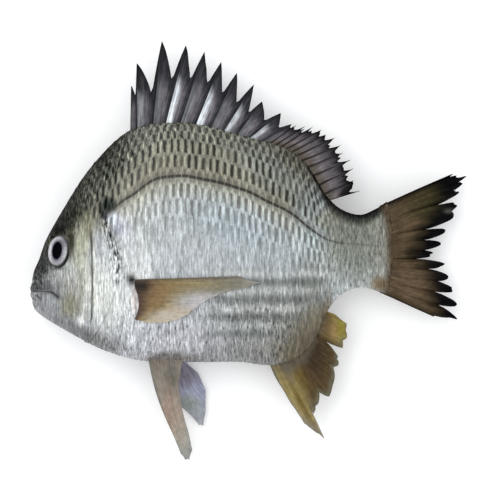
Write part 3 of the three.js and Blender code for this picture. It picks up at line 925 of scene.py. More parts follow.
PATTERNS = dict(bars=bar_strength, line=line_strength, sheen=sheen_strength, flecks=fleck_strength)
for piece, points in ((trunk, trunk_points), (head, head_points)):
    along, height = points[:, 0], points[:, 1]
    write_attribute(piece, "tone", skin_tones(points, along, height))
    for name, strength in PATTERNS.items():
        write_attribute(piece, name, strength(along, height))
print("Painted the trunk and the head, with the strengths of", list(PATTERNS))

# %% [markdown]
# ## A short way to write a finish
#
# A finish is a tree of nodes, and most of ours do sums. Placing and linking each one by
# name takes four lines, so we wrap that up in a small class whose methods add a node and
# hand back its output.

# %% Nodes for sums
class Sums:
    """Builds one material's nodes, and knows those that do sums."""

    def __init__(self, name):
        self.material = bpy.data.materials.new(name)
        self.material.use_nodes = True
        self.tree = self.material.node_tree
        self.finish = self.tree.nodes["Principled BSDF"]

    def feed(self, socket, value):
        if isinstance(value, bpy.types.NodeSocket):
            self.tree.links.new(value, socket)
        else:
            socket.default_value = value

    def node(self, kind, inputs, **settings):
        made = self.tree.nodes.new("ShaderNode" + kind)
        for key, value in settings.items():
            setattr(made, key, value)
        for key, value in inputs.items():
            self.feed(made.inputs[key], value)
        return made

    def sum(self, operation, *values):
        return self.node("Math", dict(enumerate(values)), operation=operation).outputs[0]

    def times(self, *values):
        product = values[0]
        for value in values[1:]:
            product = self.sum("MULTIPLY", product, value)
        return product

    def line(self, value, slope, start):
        return self.sum("MULTIPLY_ADD", value, slope, start)

    def fade(self, value, low, high, to_low=0.0, to_high=1.0):
        ends = {0: value, 1: low, 2: high, 3: to_low, 4: to_high}
        return self.node("MapRange", ends, interpolation_type="SMOOTHSTEP").outputs[0]

    def fade_out(self, value, low, high):
        return self.fade(value, low, high, 1.0, 0.0)

    def pick(self, share, first, second):
        return self.node("Mix", {0: share, 2: first, 3: second}).outputs[0]

    def blend(self, share, first, second, how="MIX"):
        kind = dict(data_type="RGBA", blend_type=how)
        return self.node("Mix", {0: share, 6: first, 7: second}, **kind).outputs[2]


print("A sum's inputs are nodes or plain numbers")

# %% [markdown]
# Next come the nodes that read something from the piece, and those that set the
# finish. The film of water is a clear coat. The darkest tones and the edges that turn
# away hardly show it, because a wet fish seen from straight above has no bright rim.

# %% Nodes for places, colours and water
class Recipe(Sums):
    """Knows also the nodes that read the piece and set its finish."""

    def place(self):
        return self.node("TexCoord", {}).outputs["Object"]

    def stretched(self, factors):
        return self.node("Mapping", {"Vector": self.place(), "Scale": factors}).outputs[0]

    def noise(self, vector, scale, detail=2.0):
        return self.node("TexNoise", {"Vector": vector, "Scale": scale, "Detail": detail}).outputs[0]

    def chance(self, across, up):
        """A random number of its own for each pair of whole numbers."""
        cell = self.node("CombineXYZ", {0: across, 1: up}).outputs[0]
        return self.node("TexWhiteNoise", {"Vector": cell}, noise_dimensions="2D").outputs[0]

    def map(self, name):
        parts = self.node("SeparateXYZ", {0: self.node("UVMap", {}, uv_map=name).outputs[0]})
        return parts.outputs[0], parts.outputs[1]

    def strength(self, name):
        return self.node("Attribute", {}, attribute_name=name).outputs["Fac"]

    def tone(self):
        return self.node("Attribute", {}, attribute_name="tone").outputs["Color"]

    def shaded(self, tone, shade):
        return self.node("VectorMath", {0: tone, "Scale": shade}, operation="SCALE").outputs[0]

    def off_middle(self, value):
        """How far a number is from halfway between two whole ones."""
        return self.sum("ABSOLUTE", self.sum("SUBTRACT", self.sum("FRACT", value), 0.5))

    def set(self, socket, value):
        self.feed(self.finish.inputs[socket], value)

    def wet(self, tone, shine, coat, coat_roughness):
        """A film of water, which the darkest tones and the turned edges hardly show."""
        light = self.fade(self.node("RGBToBW", {0: tone}).outputs[0], 0.01, 0.16, 0.08, 1.0)
        turned_away = self.node("LayerWeight", {"Blend": 0.5}).outputs["Facing"]
        light = self.times(light, self.fade(turned_away, 0.3, 0.85, 1.0, 0.1))
        self.set("Specular IOR Level", self.times(light, shine))
        self.set("Specular Tint", self.node("CombineColor", {0: light, 1: light, 2: light}).outputs[0])
        self.set("Coat Weight", self.times(light, coat))
        self.set("Coat Roughness", coat_roughness)

    def bump(self, height, strength):
        low = {"Height": height, "Strength": strength, "Distance": 0.0003}
        self.set("Normal", self.node("Bump", low).outputs[0])


print("A recipe reads tones, strengths and maps from the points")

# %% [markdown]
# ## The wet, scaled finish
#
# Close up, each scale has a dark bar behind the edge of the scale in front, partly its
# own pigment and partly painted shade under that edge. It also has a paler rear edge,
# which is a painted sheen, and its own slight shade. The finish finds the scale from the
# lattice that we stored as a UV map, by the same sum that shaped the relief.

# %% Which scale shows
def scale_under(skin, column, row):
    """The distance to the rear edge of the scale that shows, and a shade of its own."""
    tips, lengths, numbers = [], [], []
    for stagger in (0, 1):
        nearest = skin.sum("ROUND", skin.line(row, 0.5, -stagger / 2))
        number = skin.line(nearest, 2.0, float(stagger))
        off_row = skin.sum("SUBTRACT", row, number)
        curve = skin.line(skin.times(off_row, off_row), SCALE_ROUNDING, -stagger / 2)
        reach = skin.sum("ADD", column, curve)
        tips.append(skin.sum("ADD", skin.sum("FLOOR", reach), 1 + stagger / 2))
        lengths.append(skin.sum("SUBTRACT", 1.0, skin.sum("FRACT", reach)))
        numbers.append(number)
    first = skin.sum("LESS_THAN", tips[0], tips[1])
    tip, to_edge, number = (skin.pick(first, pair[1], pair[0]) for pair in (tips, lengths, numbers))
    return to_edge, skin.chance(skin.times(tip, 2.0), number)


print("The finish finds each scale as the relief does")

# %% [markdown]
# The bars are upright strokes of uneven length, one in the middle of each scale, frayed
# a little by noise. A pale stroke stands on either side of a bar and finer ones between
# them, and the gap between two rows is pale too.

# %% Bars, strokes and dashes
def upright_strokes(skin, column, row):
    """The dark bar, the pale line on either side of it, the finer strokes and the gap."""
    row_number = skin.sum("ROUND", row)
    off_row = skin.sum("ABSOLUTE", skin.sum("SUBTRACT", row, row_number))
    off_line = skin.sum("ABSOLUTE", row)
    stagger = skin.times(skin.sum("FLOORED_MODULO", row_number, 2.0), 0.5)
    frayed = skin.line(skin.noise(skin.stretched((1, 0.2, 1)), 700.0), 0.34, -0.17)
    across = skin.sum("ADD", skin.sum("SUBTRACT", column, stagger), frayed)
    chance = skin.chance(skin.sum("FLOOR", across), row_number)
    off_middle = skin.off_middle(across)
    length = skin.fade(chance, 0.0, 1.0, 0.32, 0.44)
    in_row = skin.fade_out(skin.sum("SUBTRACT", off_row, length), -0.05, 0.09)
    own_darkness = skin.fade(chance, 0.0, 0.6, 0.6, 1.0)
    away_from_line = skin.fade(off_line, 0.35, 0.6, 0.45, 1.0)
    bar = skin.times(skin.fade_out(off_middle, 0.1, 0.25), in_row, own_darkness, away_from_line)
    pale = skin.times(skin.fade(off_middle, 0.26, 0.36), in_row, skin.fade(off_line, 0.2, 0.4))
    fine = skin.sum("COSINE", skin.times(across, 4 * math.pi))
    return bar, pale, fine, skin.fade(off_row, 0.36, 0.5)


def line_dashes(skin, column, row):
    """The dark tubes of the lateral line, one on each scale."""
    dash = skin.fade(skin.off_middle(column), 0.37, 0.47, 1.0, 0.45)
    on_line = skin.fade_out(skin.sum("ABSOLUTE", row), 0.08, 0.15)
    return skin.times(dash, on_line, skin.strength("line"))


print("Bars, strokes and dashes all follow the lattice")

# %% [markdown]
# The skin's own grain is noise that is squeezed along the fish, so that it stands in
# short upright streaks. Cubing the stronger noise leaves few flecks and a calm ground.
# All the light and dark patterns are multiplied, so that none hides another.

# %% The skin's finish
EDGE_SHEEN = (0.80, 0.82, 0.82, 1)
# The scales' dark bars: partly their own pigment, partly painted shade under the edge of the scale in front.
BAR_PIGMENT_AND_SHADE = (0.07, 0.06, 0.04, 1)
TUBE_BROWN = (0.018, 0.014, 0.010, 1)
STREAKED = (1, 0.12, 0.12)
FLECKED = (1, 0.24, 0.24)


def grain_layers(skin, own_shade, pale, fine, between_rows):
    """The light and dark of the skin, as factors round 1."""
    flecks = skin.fade(skin.noise(skin.stretched(FLECKED), 1300.0), 0.3, 0.7, -1.1, 1.1)
    return (
        skin.fade(skin.noise(skin.stretched(STREAKED), 1100.0), 0.36, 0.64, 0.77, 1.22),
        skin.fade(own_shade, 0.0, 1.0, 0.87, 1.1),
        skin.fade(skin.noise(skin.place(), 1700.0), 0.3, 0.7, 0.88, 1.1),
        skin.line(skin.times(flecks, flecks, flecks), skin.strength("flecks"), 1.0),
        skin.line(pale, 0.5, 0.93),
        skin.line(between_rows, 0.14, 1.0),
        skin.line(fine, 0.08, 1.0),
    )


def scaled_skin():
    skin = Recipe("wet_scaled_skin")
    column, row = skin.map("lattice")
    tone, bars = skin.tone(), skin.strength("bars")
    to_edge, own_shade = scale_under(skin, column, row)
    bar, pale, fine, between_rows = upright_strokes(skin, column, row)
    bar, pale, between_rows = (skin.times(part, bars) for part in (bar, pale, between_rows))
    lit = skin.shaded(tone, skin.times(*grain_layers(skin, own_shade, pale, fine, between_rows)))
    rim = skin.times(skin.fade_out(to_edge, 0.12, 0.34), skin.fade(to_edge, 0.0, 0.06))
    rim = skin.times(rim, skin.times(skin.fade(own_shade, 0.1, 0.9), skin.strength("sheen")))
    lit = skin.blend(rim, lit, EDGE_SHEEN)
    # The bars lay pigment and painted shade over each scale.
    barred = skin.blend(bar, lit, skin.blend(1.0, tone, BAR_PIGMENT_AND_SHADE, "MULTIPLY"))
    skin.set("Base Color", skin.blend(line_dashes(skin, column, row), barred, TUBE_BROWN))
    skin.set("Roughness", skin.fade(skin.noise(skin.place(), 700.0), 0.2, 0.8, 0.24, 0.46))
    skin.wet(tone, 0.25, 0.15, 0.14)
    skin.bump(skin.noise(skin.stretched((1, 0.35, 1)), 1300.0), 0.25)
    return skin.material


def finish_piece(piece, material):
    """Gives a piece its finish, hangs it on the root body and hides the plain solid."""
    piece.data.materials.clear()
    piece.data.materials.append(material)
    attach(piece, "root")
    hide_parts("fish")
    print("Finished", piece.name, "with", len(piece.data.polygons), "faces")


SKIN = scaled_skin()
finish_piece(trunk, SKIN)
finish_piece(head, SKIN)

# %% [markdown]
# ## The eyes
#
# A fish's eye is a flattened ball that looks sideways, with a silver iris and a black
# pupil. We draw the same ball out again, this time with its front pole looking out of
# the head. On the far flank the sum turns the ball inside out, so its faces are turned
# back.

# %% A ball in each socket
EYE_BULGE = 3.6
EYE_SUNK = 1.3
EYE_RINGS = 72
EYE_SPREAD = 1.08  # the ball is a little wider than its socket
PUPIL = dict(along=0.3, height=0.1, half_length=3.2, half_height=5.2)
PUPIL_DEPTH = 0.22
SLOPE_REACH = 2.0


def skin_frame(along, height, side):
    """A point of the skin, and the directions rearwards, upwards and outwards there."""
    reach = SLOPE_REACH
    slope_along = (flank_at(along + reach, height) - flank_at(along - reach, height)) / (2 * reach)
    slope_up = (flank_at(along, height + reach) - flank_at(along, height - reach)) / (2 * reach)
    outwards = np.array([-slope_along, -slope_up, side]) / math.hypot(slope_along, slope_up, 1)
    rearwards = np.cross([0, 1, 0], outwards) * side
    rearwards /= np.linalg.norm(rearwards)
    upwards = np.cross(outwards, rearwards) * side
    return np.array([along, height, side * flank_at(along, height)]), rearwards, upwards, outwards


def face_outwards(piece):
    """Turns every face of the active piece outwards."""
    bpy.ops.object.mode_set(mode="EDIT")
    bpy.ops.mesh.select_all(action="SELECT")
    bpy.ops.mesh.normals_make_consistent(inside=False)
    bpy.ops.object.mode_set(mode="OBJECT")


def eyeball(name, side):
    """An eye, and where each of its points lies on the iris."""
    eye, ring, angle = drawn_ball(name, 72, EYE_RINGS)
    centre, rearwards, upwards, outwards = skin_frame(EYE["along"], EYE["height"], side)
    turn = ring / EYE_RINGS * math.pi
    tilt = float(outwards[2] * side)
    right = np.sin(turn) * np.cos(angle) * EYE["half_length"] * EYE_SPREAD / tilt
    up = np.sin(turn) * np.sin(angle) * EYE["half_height"] * EYE_SPREAD
    dome = np.cos(turn) * EYE_BULGE - EYE_SUNK
    pupil = oval_distance(right, up, PUPIL)
    dome -= np.where(turn < QUARTER, PUPIL_DEPTH * fall(pupil, 0.8, 1.15), 0)
    lay_points(eye, centre + right[:, None] * rearwards + up[:, None] * upwards + dome[:, None] * outwards)
    if side < 0:
        face_outwards(eye)
    rim = np.sin(np.minimum(turn, QUARTER)) * EYE_SPREAD
    return eye, SimpleNamespace(right=right, up=up, pupil=pupil, rim=rim, around=np.arctan2(up, right))


print("The eyes stand out by", round(EYE_BULGE - EYE_SUNK, 1), "mm")

# %% [markdown]
# The iris is a silver ring with softly darker patches, a dark outer rim and a thin lilac
# line round the pupil. A smooth clear coat makes it look wet and alive.

# %% The colours and finish of the eyes
IRIS = [(0, (168, 168, 173)), (0.7, (174, 174, 178)), (0.86, (194, 195, 197)), (1.0, (128, 126, 126))]


def eye_tones(spot):
    return paint(ramp(IRIS, spot.rim), [
        ((128, 125, 136), 0.85 * fall(spot.pupil, 1.1, 1.5)),
        ((214, 214, 218), 0.7 * oval(spot.right, spot.up, (-4.6, 0), (1.4, 6))),
        ((106, 104, 110), 0.8 * oval(spot.right, spot.up, (3.8, 5), (2.6, 4))),
        ((136, 134, 142), 0.6 * oval(spot.right, spot.up, (0.5, -6.8), (4, 2.2))),
        ((38, 37, 36), ease(spot.rim, 0.88, 1.0) * (0.6 + 0.4 * np.cos(spot.around + 0.6))),
        ((84, 80, 98), 0.8 * ridge(spot.pupil - 1.03, 0.08)),
        ((7, 6, 10), fall(spot.pupil, 0.94, 1.03)),
    ])


def clear_eye():
    eye = Recipe("clear_wet_eye")
    tone = eye.tone()
    flecks = eye.fade(eye.noise(eye.place(), 1500.0, 3.0), 0.4, 0.6, 0.76, 1.14)
    eye.set("Base Color", eye.shaded(tone, flecks))
    eye.set("Roughness", eye.fade(flecks, 0.76, 1.14, 0.30, 0.18))
    eye.wet(tone, 0.1, 0.15, 0.03)
    return eye.material


EYE_FINISH = clear_eye()
for name, side in (("left_eye", 1), ("right_eye", -1)):
    eye, spot = eyeball(name, side)
    write_attribute(eye, "tone", eye_tones(spot))
    write_map(eye, "iris", spot.around / (2 * math.pi), spot.rim)
    finish_piece(eye, EYE_FINISH)

# %% [markdown]
# ## The lips
#
# The lips are soft rolls that run from one corner of the mouth round the front of the
# snout to the other corner. A bevelled curve would give an even tube, but a lip is
# fullest in front and thins out at its ends, so we draw a ball out along the line.

# %% Two rolls round the snout
LIP_SUNK = 0.55
LIP_RINGS = 160
LIPS = {
    "upper_lip": dict(
        offset=1.75, tall=1.75, proud=1.0, reach=14.5,
        tones=[(0, (66, 67, 70)), (0.5, (88, 89, 92)), (1, (128, 128, 128))],
    ),
    "lower_lip": dict(
        offset=-1.6, tall=1.5, proud=0.9, reach=13.5,
        tones=[(0, (118, 119, 124)), (0.5, (138, 139, 143)), (1, (132, 132, 134))],
    ),
}


def lip(name, offset, tall, proud, reach, tones):
    roll, ring, angle = drawn_ball(name, 28, LIP_RINGS)
    way = mix(-1, 1, ring / LIP_RINGS)
    along = reach * np.abs(way) ** 1.7
    height = smooth_through(MOUTH_LINE, along) + offset * (1 - 0.45 * np.abs(way))
    out = flank_at(along, height) * np.sign(way)
    stations, first = np.unique(way, return_index=True)
    line = np.stack([along[first], height[first], out[first]], axis=1)
    tangent = np.gradient(line, axis=0)
    tangent /= np.linalg.norm(tangent, axis=1)[:, None]
    outward = np.stack([-tangent[:, 2], np.zeros(len(line)), tangent[:, 0]], axis=1)
    outward /= np.linalg.norm(outward, axis=1)[:, None]
    full = np.sqrt(np.clip(1 - np.abs(stations) ** 6, 0, 1)) * mix(1, 0.5, np.abs(stations) ** 1.5)
    index = np.searchsorted(stations, way)
    push = np.cos(angle) * proud * full[index]
    points = line[index] + (push[:, None] - LIP_SUNK) * outward[index]
    points[:, 1] += np.sin(angle) * tall * full[index]
    lay_points(roll, points)
    face_outwards(roll)
    write_attribute(roll, "tone", ramp(tones, np.abs(way)))
    write_map(roll, "roll", way, angle / math.pi)
    return roll


def lip_skin():
    skin = Recipe("soft_wet_lip")
    tone = skin.tone()
    wrinkles = skin.fade(skin.noise(skin.stretched((1, 1, 0.5)), 900.0, 3.0), 0.3, 0.7, 0.8, 1.15)
    skin.set("Base Color", skin.shaded(tone, wrinkles))
    skin.set("Roughness", skin.fade(wrinkles, 0.8, 1.15, 0.42, 0.3))
    skin.wet(tone, 0.25, 0.15, 0.15)
    skin.bump(skin.noise(skin.place(), 1400.0, 3.0), 0.3)
    return skin.material


LIP_SKIN = lip_skin()
for name, shape in LIPS.items():
    finish_piece(lip(name, **shape), LIP_SKIN)

# %% [markdown]
# ## Fins as fans
#
# Every fin is a fan: rays that spread from the body, with a thin skin between them. A
# grid is laid over the fan, with more columns near each ray. The skin's edge hangs back
# between two tips, and small random tears make it ragged.

# %% Laying a grid over a fan of rays
SPINE = (1.3, 0.35)  # half thickness of a stiff spine at its root and its tip
RAY = (0.8, 0.26)
WEB = (0.42, 0.2)
KNOTS_PER_GAP = 5


def nearest_ray(flat, near, far):
    """How far each point lies from its closer ray, and that ray's half thickness there."""
    distance, half = np.full(len(flat), 1e9), np.zeros(len(flat))
    for ray in (near, far):
        direction = ray[:, 2:4] - ray[:, :2]
        length = np.linalg.norm(direction, axis=1)
        offset = flat - ray[:, :2]
        away = np.abs(direction[:, 0] * offset[:, 1] - direction[:, 1] * offset[:, 0]) / length
        up = np.clip(np.sum(direction * offset, axis=1) / length**2, 0, 1)
        closer = away < distance
        distance = np.where(closer, away, distance)
        half = np.where(closer, mix(ray[:, 5], ray[:, 6], up), half)
    return distance, half


def fan_grid(name, rays, lean=0.5, hollow=1.0, per_gap=12, rows=44, bow=0.0, fray=0.0):
    """Rays are rows of root X, root Y, tip X, tip Y, the skin's share, and half
    thicknesses at the root and the tip. A hollow above 1 leaves blunt ends with narrow
    slits, one below 1 thin points. Returns the sheet and what is known of its points."""
    rays = np.array(rays, float)
    gaps = len(rays) - 1
    hollows, frays = np.broadcast_to(hollow, gaps), np.broadcast_to(fray, gaps)
    sizes = dict(x_subdivisions=gaps * per_gap, y_subdivisions=rows, size=2)
    sheet = start_piece(name, bpy.ops.mesh.primitive_grid_add, **sizes)
    grid = read_points(sheet)
    steps = np.rint((grid[:, 0] + 1) / 2 * gaps * per_gap)
    share = (grid[:, 1] + 1) / 2
    gap = np.clip(steps // per_gap, 0, gaps - 1).astype(int)
    between = (1 - np.cos(math.pi * (steps - gap * per_gap) / per_gap)) / 2
    near, far = rays[gap], rays[gap + 1]
    root = mix(near[:, :2], far[:, :2], between[:, None])
    tip = mix(near[:, 2:4], far[:, 2:4], between[:, None])
    slope = np.where(between < lean, between / lean, (1 - between) / (1 - lean)) ** hollows[gap]
    knots = np.linspace(0, gaps, KNOTS_PER_GAP * gaps + 1)
    torn = np.interp(gap + between, knots, np.random.default_rng(len(name)).uniform(0, 1, len(knots)) ** 2)
    cut = (1 - near[:, 4]) * slope + frays[gap] * torn
    flat = mix(root, mix(tip, root, cut[:, None]), share[:, None])
    distance, half = nearest_ray(flat, near, far)
    web = mix(*WEB, share)
    on_ray = np.sqrt(np.clip(1 - (distance / half) ** 2, 0, 1))
    thickness = web + np.maximum(half - web, 0) * on_ray
    x = flat[:, 0] - bow * np.sin(math.pi * share)
    return SimpleNamespace(
        sheet=sheet, ray=gap + between, between=between, gap=gap, share=share,
        x=x, y=flat[:, 1], thickness=thickness, on_ray=on_ray,
    )


print("A ray is", 2 * RAY[0], "mm thick at its root, the skin between two rays", 2 * WEB[0])

# %% [markdown]
# The Solidify modifier gives the sheet its thickness, thick along the rays and thin
# between them, through a vertex group. A real fin's root goes on inside the body, so
# each ray starts a little way under the skin.

# %% From a sheet to a fin
ROOT_INSIDE = 5


def fin_ray(line, base_x, tip_x, tip_y, web, half):
    """A ray whose root is sunk below the back or the belly line, along the ray itself."""
    base, tip = np.array([base_x, float(smooth_through(line, base_x))]), np.array([tip_x, tip_y], float)
    root = base - (tip - base) * ROOT_INSIDE / np.linalg.norm(tip - base)
    return (*root, *tip, web, *half)


def make_fin(fan, depth, tones, finish):
    """Bends the sheet, paints it and gives it its thickness."""
    sheet = fan.sheet
    lay_points(sheet, np.stack([fan.x, fan.y, depth], axis=1))
    write_attribute(sheet, "tone", tones)
    write_map(sheet, "rays", fan.ray, fan.share)
    full = fan.thickness.max()
    group = sheet.vertex_groups.new(name="thickness")
    for index, weight in enumerate(fan.thickness / full):
        group.add([index], float(weight), "REPLACE")
    solidify = sheet.modifiers.new("Solidify", "SOLIDIFY")
    solidify.thickness = 2 * full * MILLIMETRE
    solidify.offset = 0
    solidify.vertex_group = "thickness"
    bpy.ops.object.modifier_apply(modifier=solidify.name)
    sheet.vertex_groups.clear()
    lifted = read_points(sheet)
    lifted[:, 2] = np.maximum(lifted[:, 2], 0)
    write_points(sheet, lifted)
    finish_piece(sheet, finish)


print("Each ray starts", ROOT_INSIDE, "mm under the skin")

# %% [markdown]
# ## The fins' finish
#
# Wet fin skin is thin and a little glossy. Soft rays split in two and again in two
# towards the edge, and are jointed like bamboo. The map that runs along and across the
# rays draws all of that, while the broad colours come from the painted points.

# %% A finish for fin skin
def fin_skin(name, ray_light, joints, branch_start, fibre_contrast):
    skin = Recipe(name)
    across, up = skin.map("rays")
    tone = skin.tone()
    sway = skin.line(skin.noise(skin.place(), 120.0), 0.16, -0.08)
    swayed = skin.sum("ADD", across, sway)
    lines = 0.0
    for count, start in ((1.0, -1.0), (2.0, branch_start), (4.0, branch_start + 0.25)):
        near = skin.sum("PINGPONG", skin.times(swayed, count), 0.5)
        line = skin.times(skin.fade_out(near, 0.06, 0.2), skin.fade(up, start, start + 0.15))
        lines = skin.sum("MAXIMUM", lines, line)
    joint = skin.fade_out(skin.sum("PINGPONG", skin.times(up, joints), 0.5), 0.05, 0.16)
    joint = skin.times(joint, lines, skin.fade(up, 0.2, 0.4))
    mottle = skin.fade(skin.noise(skin.stretched((1, 1, 0.3)), 380.0, 3.0), 0.3, 0.7, 0.86, 1.12)
    fibres = skin.node("CombineXYZ", {0: skin.times(across, 7.0), 1: skin.times(up, 2.0)}).outputs[0]
    fibres = skin.fade(skin.noise(fibres, 1.6, 3.0), 0.34, 0.66, 1 - fibre_contrast, 1 + fibre_contrast)
    mottle = skin.times(mottle, fibres)
    ray_shade = skin.line(lines, ray_light, 1 - 0.4 * ray_light)
    skin.set("Base Color", skin.shaded(tone, skin.times(mottle, ray_shade, skin.line(joint, -0.16, 1.0))))
    skin.set("Roughness", skin.fade(mottle, 0.7, 1.3, 0.5, 0.34))
    skin.wet(tone, 0.2, 0.08, 0.2)
    skin.bump(skin.sum("ADD", lines, skin.noise(skin.place(), 900.0)), 0.35)
    return skin.material


SPINY_SKIN = fin_skin("wet_spiny_fin", -0.1, 0.0, 9.0, 0.34)
SOFT_SKIN = fin_skin("wet_soft_fin", 0.12, 34.0, 0.35, 0.18)
print("Made", SPINY_SKIN.name, "and", SOFT_SKIN.name)

# %% [markdown]
# ## The dorsal fin
#
# Eleven stiff spines stand up in front, and the skin between them is cut deep, so the
# fin looks like a saw. Behind them twelve soft rays lean back over the tail base.
# Each spine is typed as where it leaves the back, its tip, and how far up the skin
# behind it reaches.

# %% The rays on the back
DORSAL_SPINES = [
    (56.9, 57.4, 94.4, 0.6), (61.2, 60.6, 107.1, 0.45), (70.2, 75.1, 120.6, 0.58),
    (77.5, 89, 118.3, 0.63), (85.8, 99.5, 113.8, 0.67), (94.9, 109.1, 107.9, 0.63),
    (103.6, 118, 101.5, 0.6), (111, 127.8, 94.9, 0.62), (118.7, 132.7, 85.5, 0.66),
    (126, 143.3, 78.6, 0.72), (133.3, 149.5, 72.2, 0.85),
]
SOFT_RAYS = 12
SOFT_BASE = (137, 171.5)
SOFT_EDGE = np.array([(153, 71.4), (182.5, 73), (190, 34)])

rays = [fin_ray(BACK_LINE, *spine, SPINE) for spine in DORSAL_SPINES]
torn = np.random.default_rng(3)
for share in np.linspace(0, 1, SOFT_RAYS):
    tip = (1 - share) ** 2 * SOFT_EDGE[0] + 2 * share * (1 - share) * SOFT_EDGE[1] + share**2 * SOFT_EDGE[2]
    web = 0.86 - 0.16 * share * torn.uniform(0.2, 1)
    rays.append(fin_ray(BACK_LINE, mix(*SOFT_BASE, share), *(tip + torn.uniform(-0.8, 0.8, 2)), web, RAY))
print("The dorsal fin has", len(rays), "rays")

# %% [markdown]
# The skin between the spines is dark, with a pale streak behind every second spine,
# where it catches the light. The soft part is browner, with darker rays and a black
# frayed edge.

# %% The fin on the back
DORSAL_TONES = [
    (0, (76, 76, 74)), (0.25, (82, 82, 86)), (0.55, (74, 74, 79)), (0.8, (60, 60, 64)), (1, (38, 38, 42)),
]
SOFT_TONES = [
    (0, (80, 73, 60)), (0.3, (78, 71, 64)), (0.5, (92, 86, 88)), (0.75, (72, 69, 73)), (0.94, (24, 23, 24)),
]
STREAKS = np.array([0, 0.2, 0, 1, 0, 1, 0, 0.6, 0, 0.5] + [0] * SOFT_RAYS)  # one for each gap between rays
RIPPLE = 0.5
stiff_gaps, soft_gaps = len(DORSAL_SPINES), SOFT_RAYS - 1
hollows = [1.1] * stiff_gaps + [0.5] * soft_gaps
frays = [0.02] * stiff_gaps + [0.16] * soft_gaps

fan = fan_grid("dorsal_fin", rays, lean=0.74, hollow=hollows, per_gap=16, rows=56, fray=frays)
stiff = fall(fan.ray, 9.5, 11.5)
pale = fall(fan.between, 0.26, 0.5) * within(fan.share, 0.04, 0.12, 0.46, 0.72)
dull = within(fan.between, 0.15, 0.4, 0.55, 0.8) * within(fan.share, 0.1, 0.3, 0.6, 0.85)
tones = paint(ramp(DORSAL_TONES, fan.share), [
    ((240, 246, 252), pale * stiff * mix(0.1, 1, STREAKS[fan.gap])),
    ((116, 110, 117), 0.6 * dull * stiff),
    ((42, 42, 47), 0.7 * ease(fan.between, 0.66, 0.86) * stiff),
])
tones *= mix(0.77, 1, ease(fan.ray, 1.5, 3.5))[:, None]
soft_tones = ramp(SOFT_TONES, fan.share) * mix(1.4, 0.4, fan.on_ray)[:, None]
tones = mix(soft_tones, tones, stiff[:, None])
tones = paint(tones, [((20, 19, 19), 0.9 * ease(fan.ray, 20.3, 21.6) * ease(fan.share, 0.5, 0.75))])
make_fin(fan, RIPPLE * np.sin(fan.x / 9) * fan.share, tones, SPINY_SKIN)

# %% [markdown]
# ## The tail fin
#
# The tail is the widest fan. Its edge is torn into points, as on a fish that has been
# handled, and it sags a little towards the board. The rays near the middle spread sooner
# than the outer ones, so that the teeth of the edge end level.

# %% The forked tail
TAIL_TIPS = [
    (242.5, 43.9, 0.98), (250.6, 42.7, 0.92), (248.1, 38.4, 0.9), (246.6, 33.8, 0.7),
    (246.2, 27.5, 0.95), (242.5, 18.6, 0.65), (239.1, 11.2, 0.7), (235.6, 3.2, 0.84),
    (231, -2.6, 0.64), (238.5, -8, 0.73), (240.4, -15.5, 0.85), (243.1, -23, 0.75),
    (244.8, -31.2, 0.77), (244.8, -39.8, 0.98), (232, -38.6, 1),
]
TAIL_ROOT = 200
TAIL_ROOT_HEIGHTS = (25.4, -24.4)
TAIL_LEVELLING = 0.14  # how much sooner the inner rays spread
roots = np.linspace(*TAIL_ROOT_HEIGHTS, len(TAIL_TIPS))
rays = [(TAIL_ROOT, root, *tip, *RAY) for root, tip in zip(roots, TAIL_TIPS)]
spread = [tip[1] - root for tip, root in zip(TAIL_TIPS, roots)]

fan = fan_grid("tail_fin", rays, hollow=2.0, per_gap=20, rows=64, fray=0.09)
inner = 1 - np.abs(2 * fan.ray / (len(rays) - 1) - 1) ** 3
levelled = TAIL_LEVELLING * np.sin(math.pi * fan.share) * inner
fan.y = fan.y + levelled * np.interp(fan.ray, range(len(rays)), spread)
print("The tail spreads over", round(float(np.ptp(fan.y)), 1), "mm")

# %% [markdown]
# The tail is brown, with a wide black margin that follows the fork and a black upper
# edge. The margin's inner side is uneven, so random bumps shift it a little.

# %% The tail's colours
TAIL_TONES = [
    (202, (100, 88, 71)), (207, (92, 79, 61)), (210, (84, 69, 52)), (214, (94, 78, 58)), (232, (82, 69, 50)),
]
FORK = (221.5, -1)  # where the margin comes closest to the body
MARGIN_SLOPES = (0.27, 0.36)  # above and below that
EDGE_SLOPE = 0.44

x, y = fan.x, fan.y
ragged = 1.6 * bumps(np.stack([x / 9, y, 0 * x], axis=1), 3, 22)
margin = FORK[0] + np.where(y > FORK[1], *MARGIN_SLOPES) * np.abs(y - FORK[1])
from_margin = x - margin + ragged
edge_rise = (x - 198) * EDGE_SLOPE
tones = paint(ramp(TAIL_TONES, x), [
    ((50, 43, 32), 0.9 * ease(from_margin, -7, 0)),
    ((14, 14, 17), ease(from_margin, -2, 5)),
    ((66, 62, 38), 0.7 * oval(x, y, (224, 27), (12, 9), 30)),
    ((100, 82, 63), 0.8 * oval(x, y, (219, -20), (11, 11), -30)),
    ((26, 24, 20), 0.6 * oval(x, y, (219, -2), (6, 6))),
    ((14, 14, 14), 0.97 * ridge(y - 24.6 - edge_rise, 3.1)),
    ((34, 30, 22), 0.85 * ridge(y + 23.6 + edge_rise, 2.2)),
    ((96, 94, 90), 0.6 * oval(x, y, (240, 22.5), (3, 1.6))),
])
streaks = 1 + 0.1 * bumps(np.stack([x / 12, fan.ray, 0 * x], axis=1), 0.22, 21)
tones *= np.clip(streaks, 0.5, 1.5)[:, None]
make_fin(fan, 0.7 * np.sin(y / 6) * fan.share - 9 * fan.share**2, tones, SOFT_SKIN)

# %% [markdown]
# ## The anal fin
#
# Three spines lead it, the second one stout, and then soft rays. Its skin is golden in
# front, nearly black in the middle, and yellow again on the rear lobe.

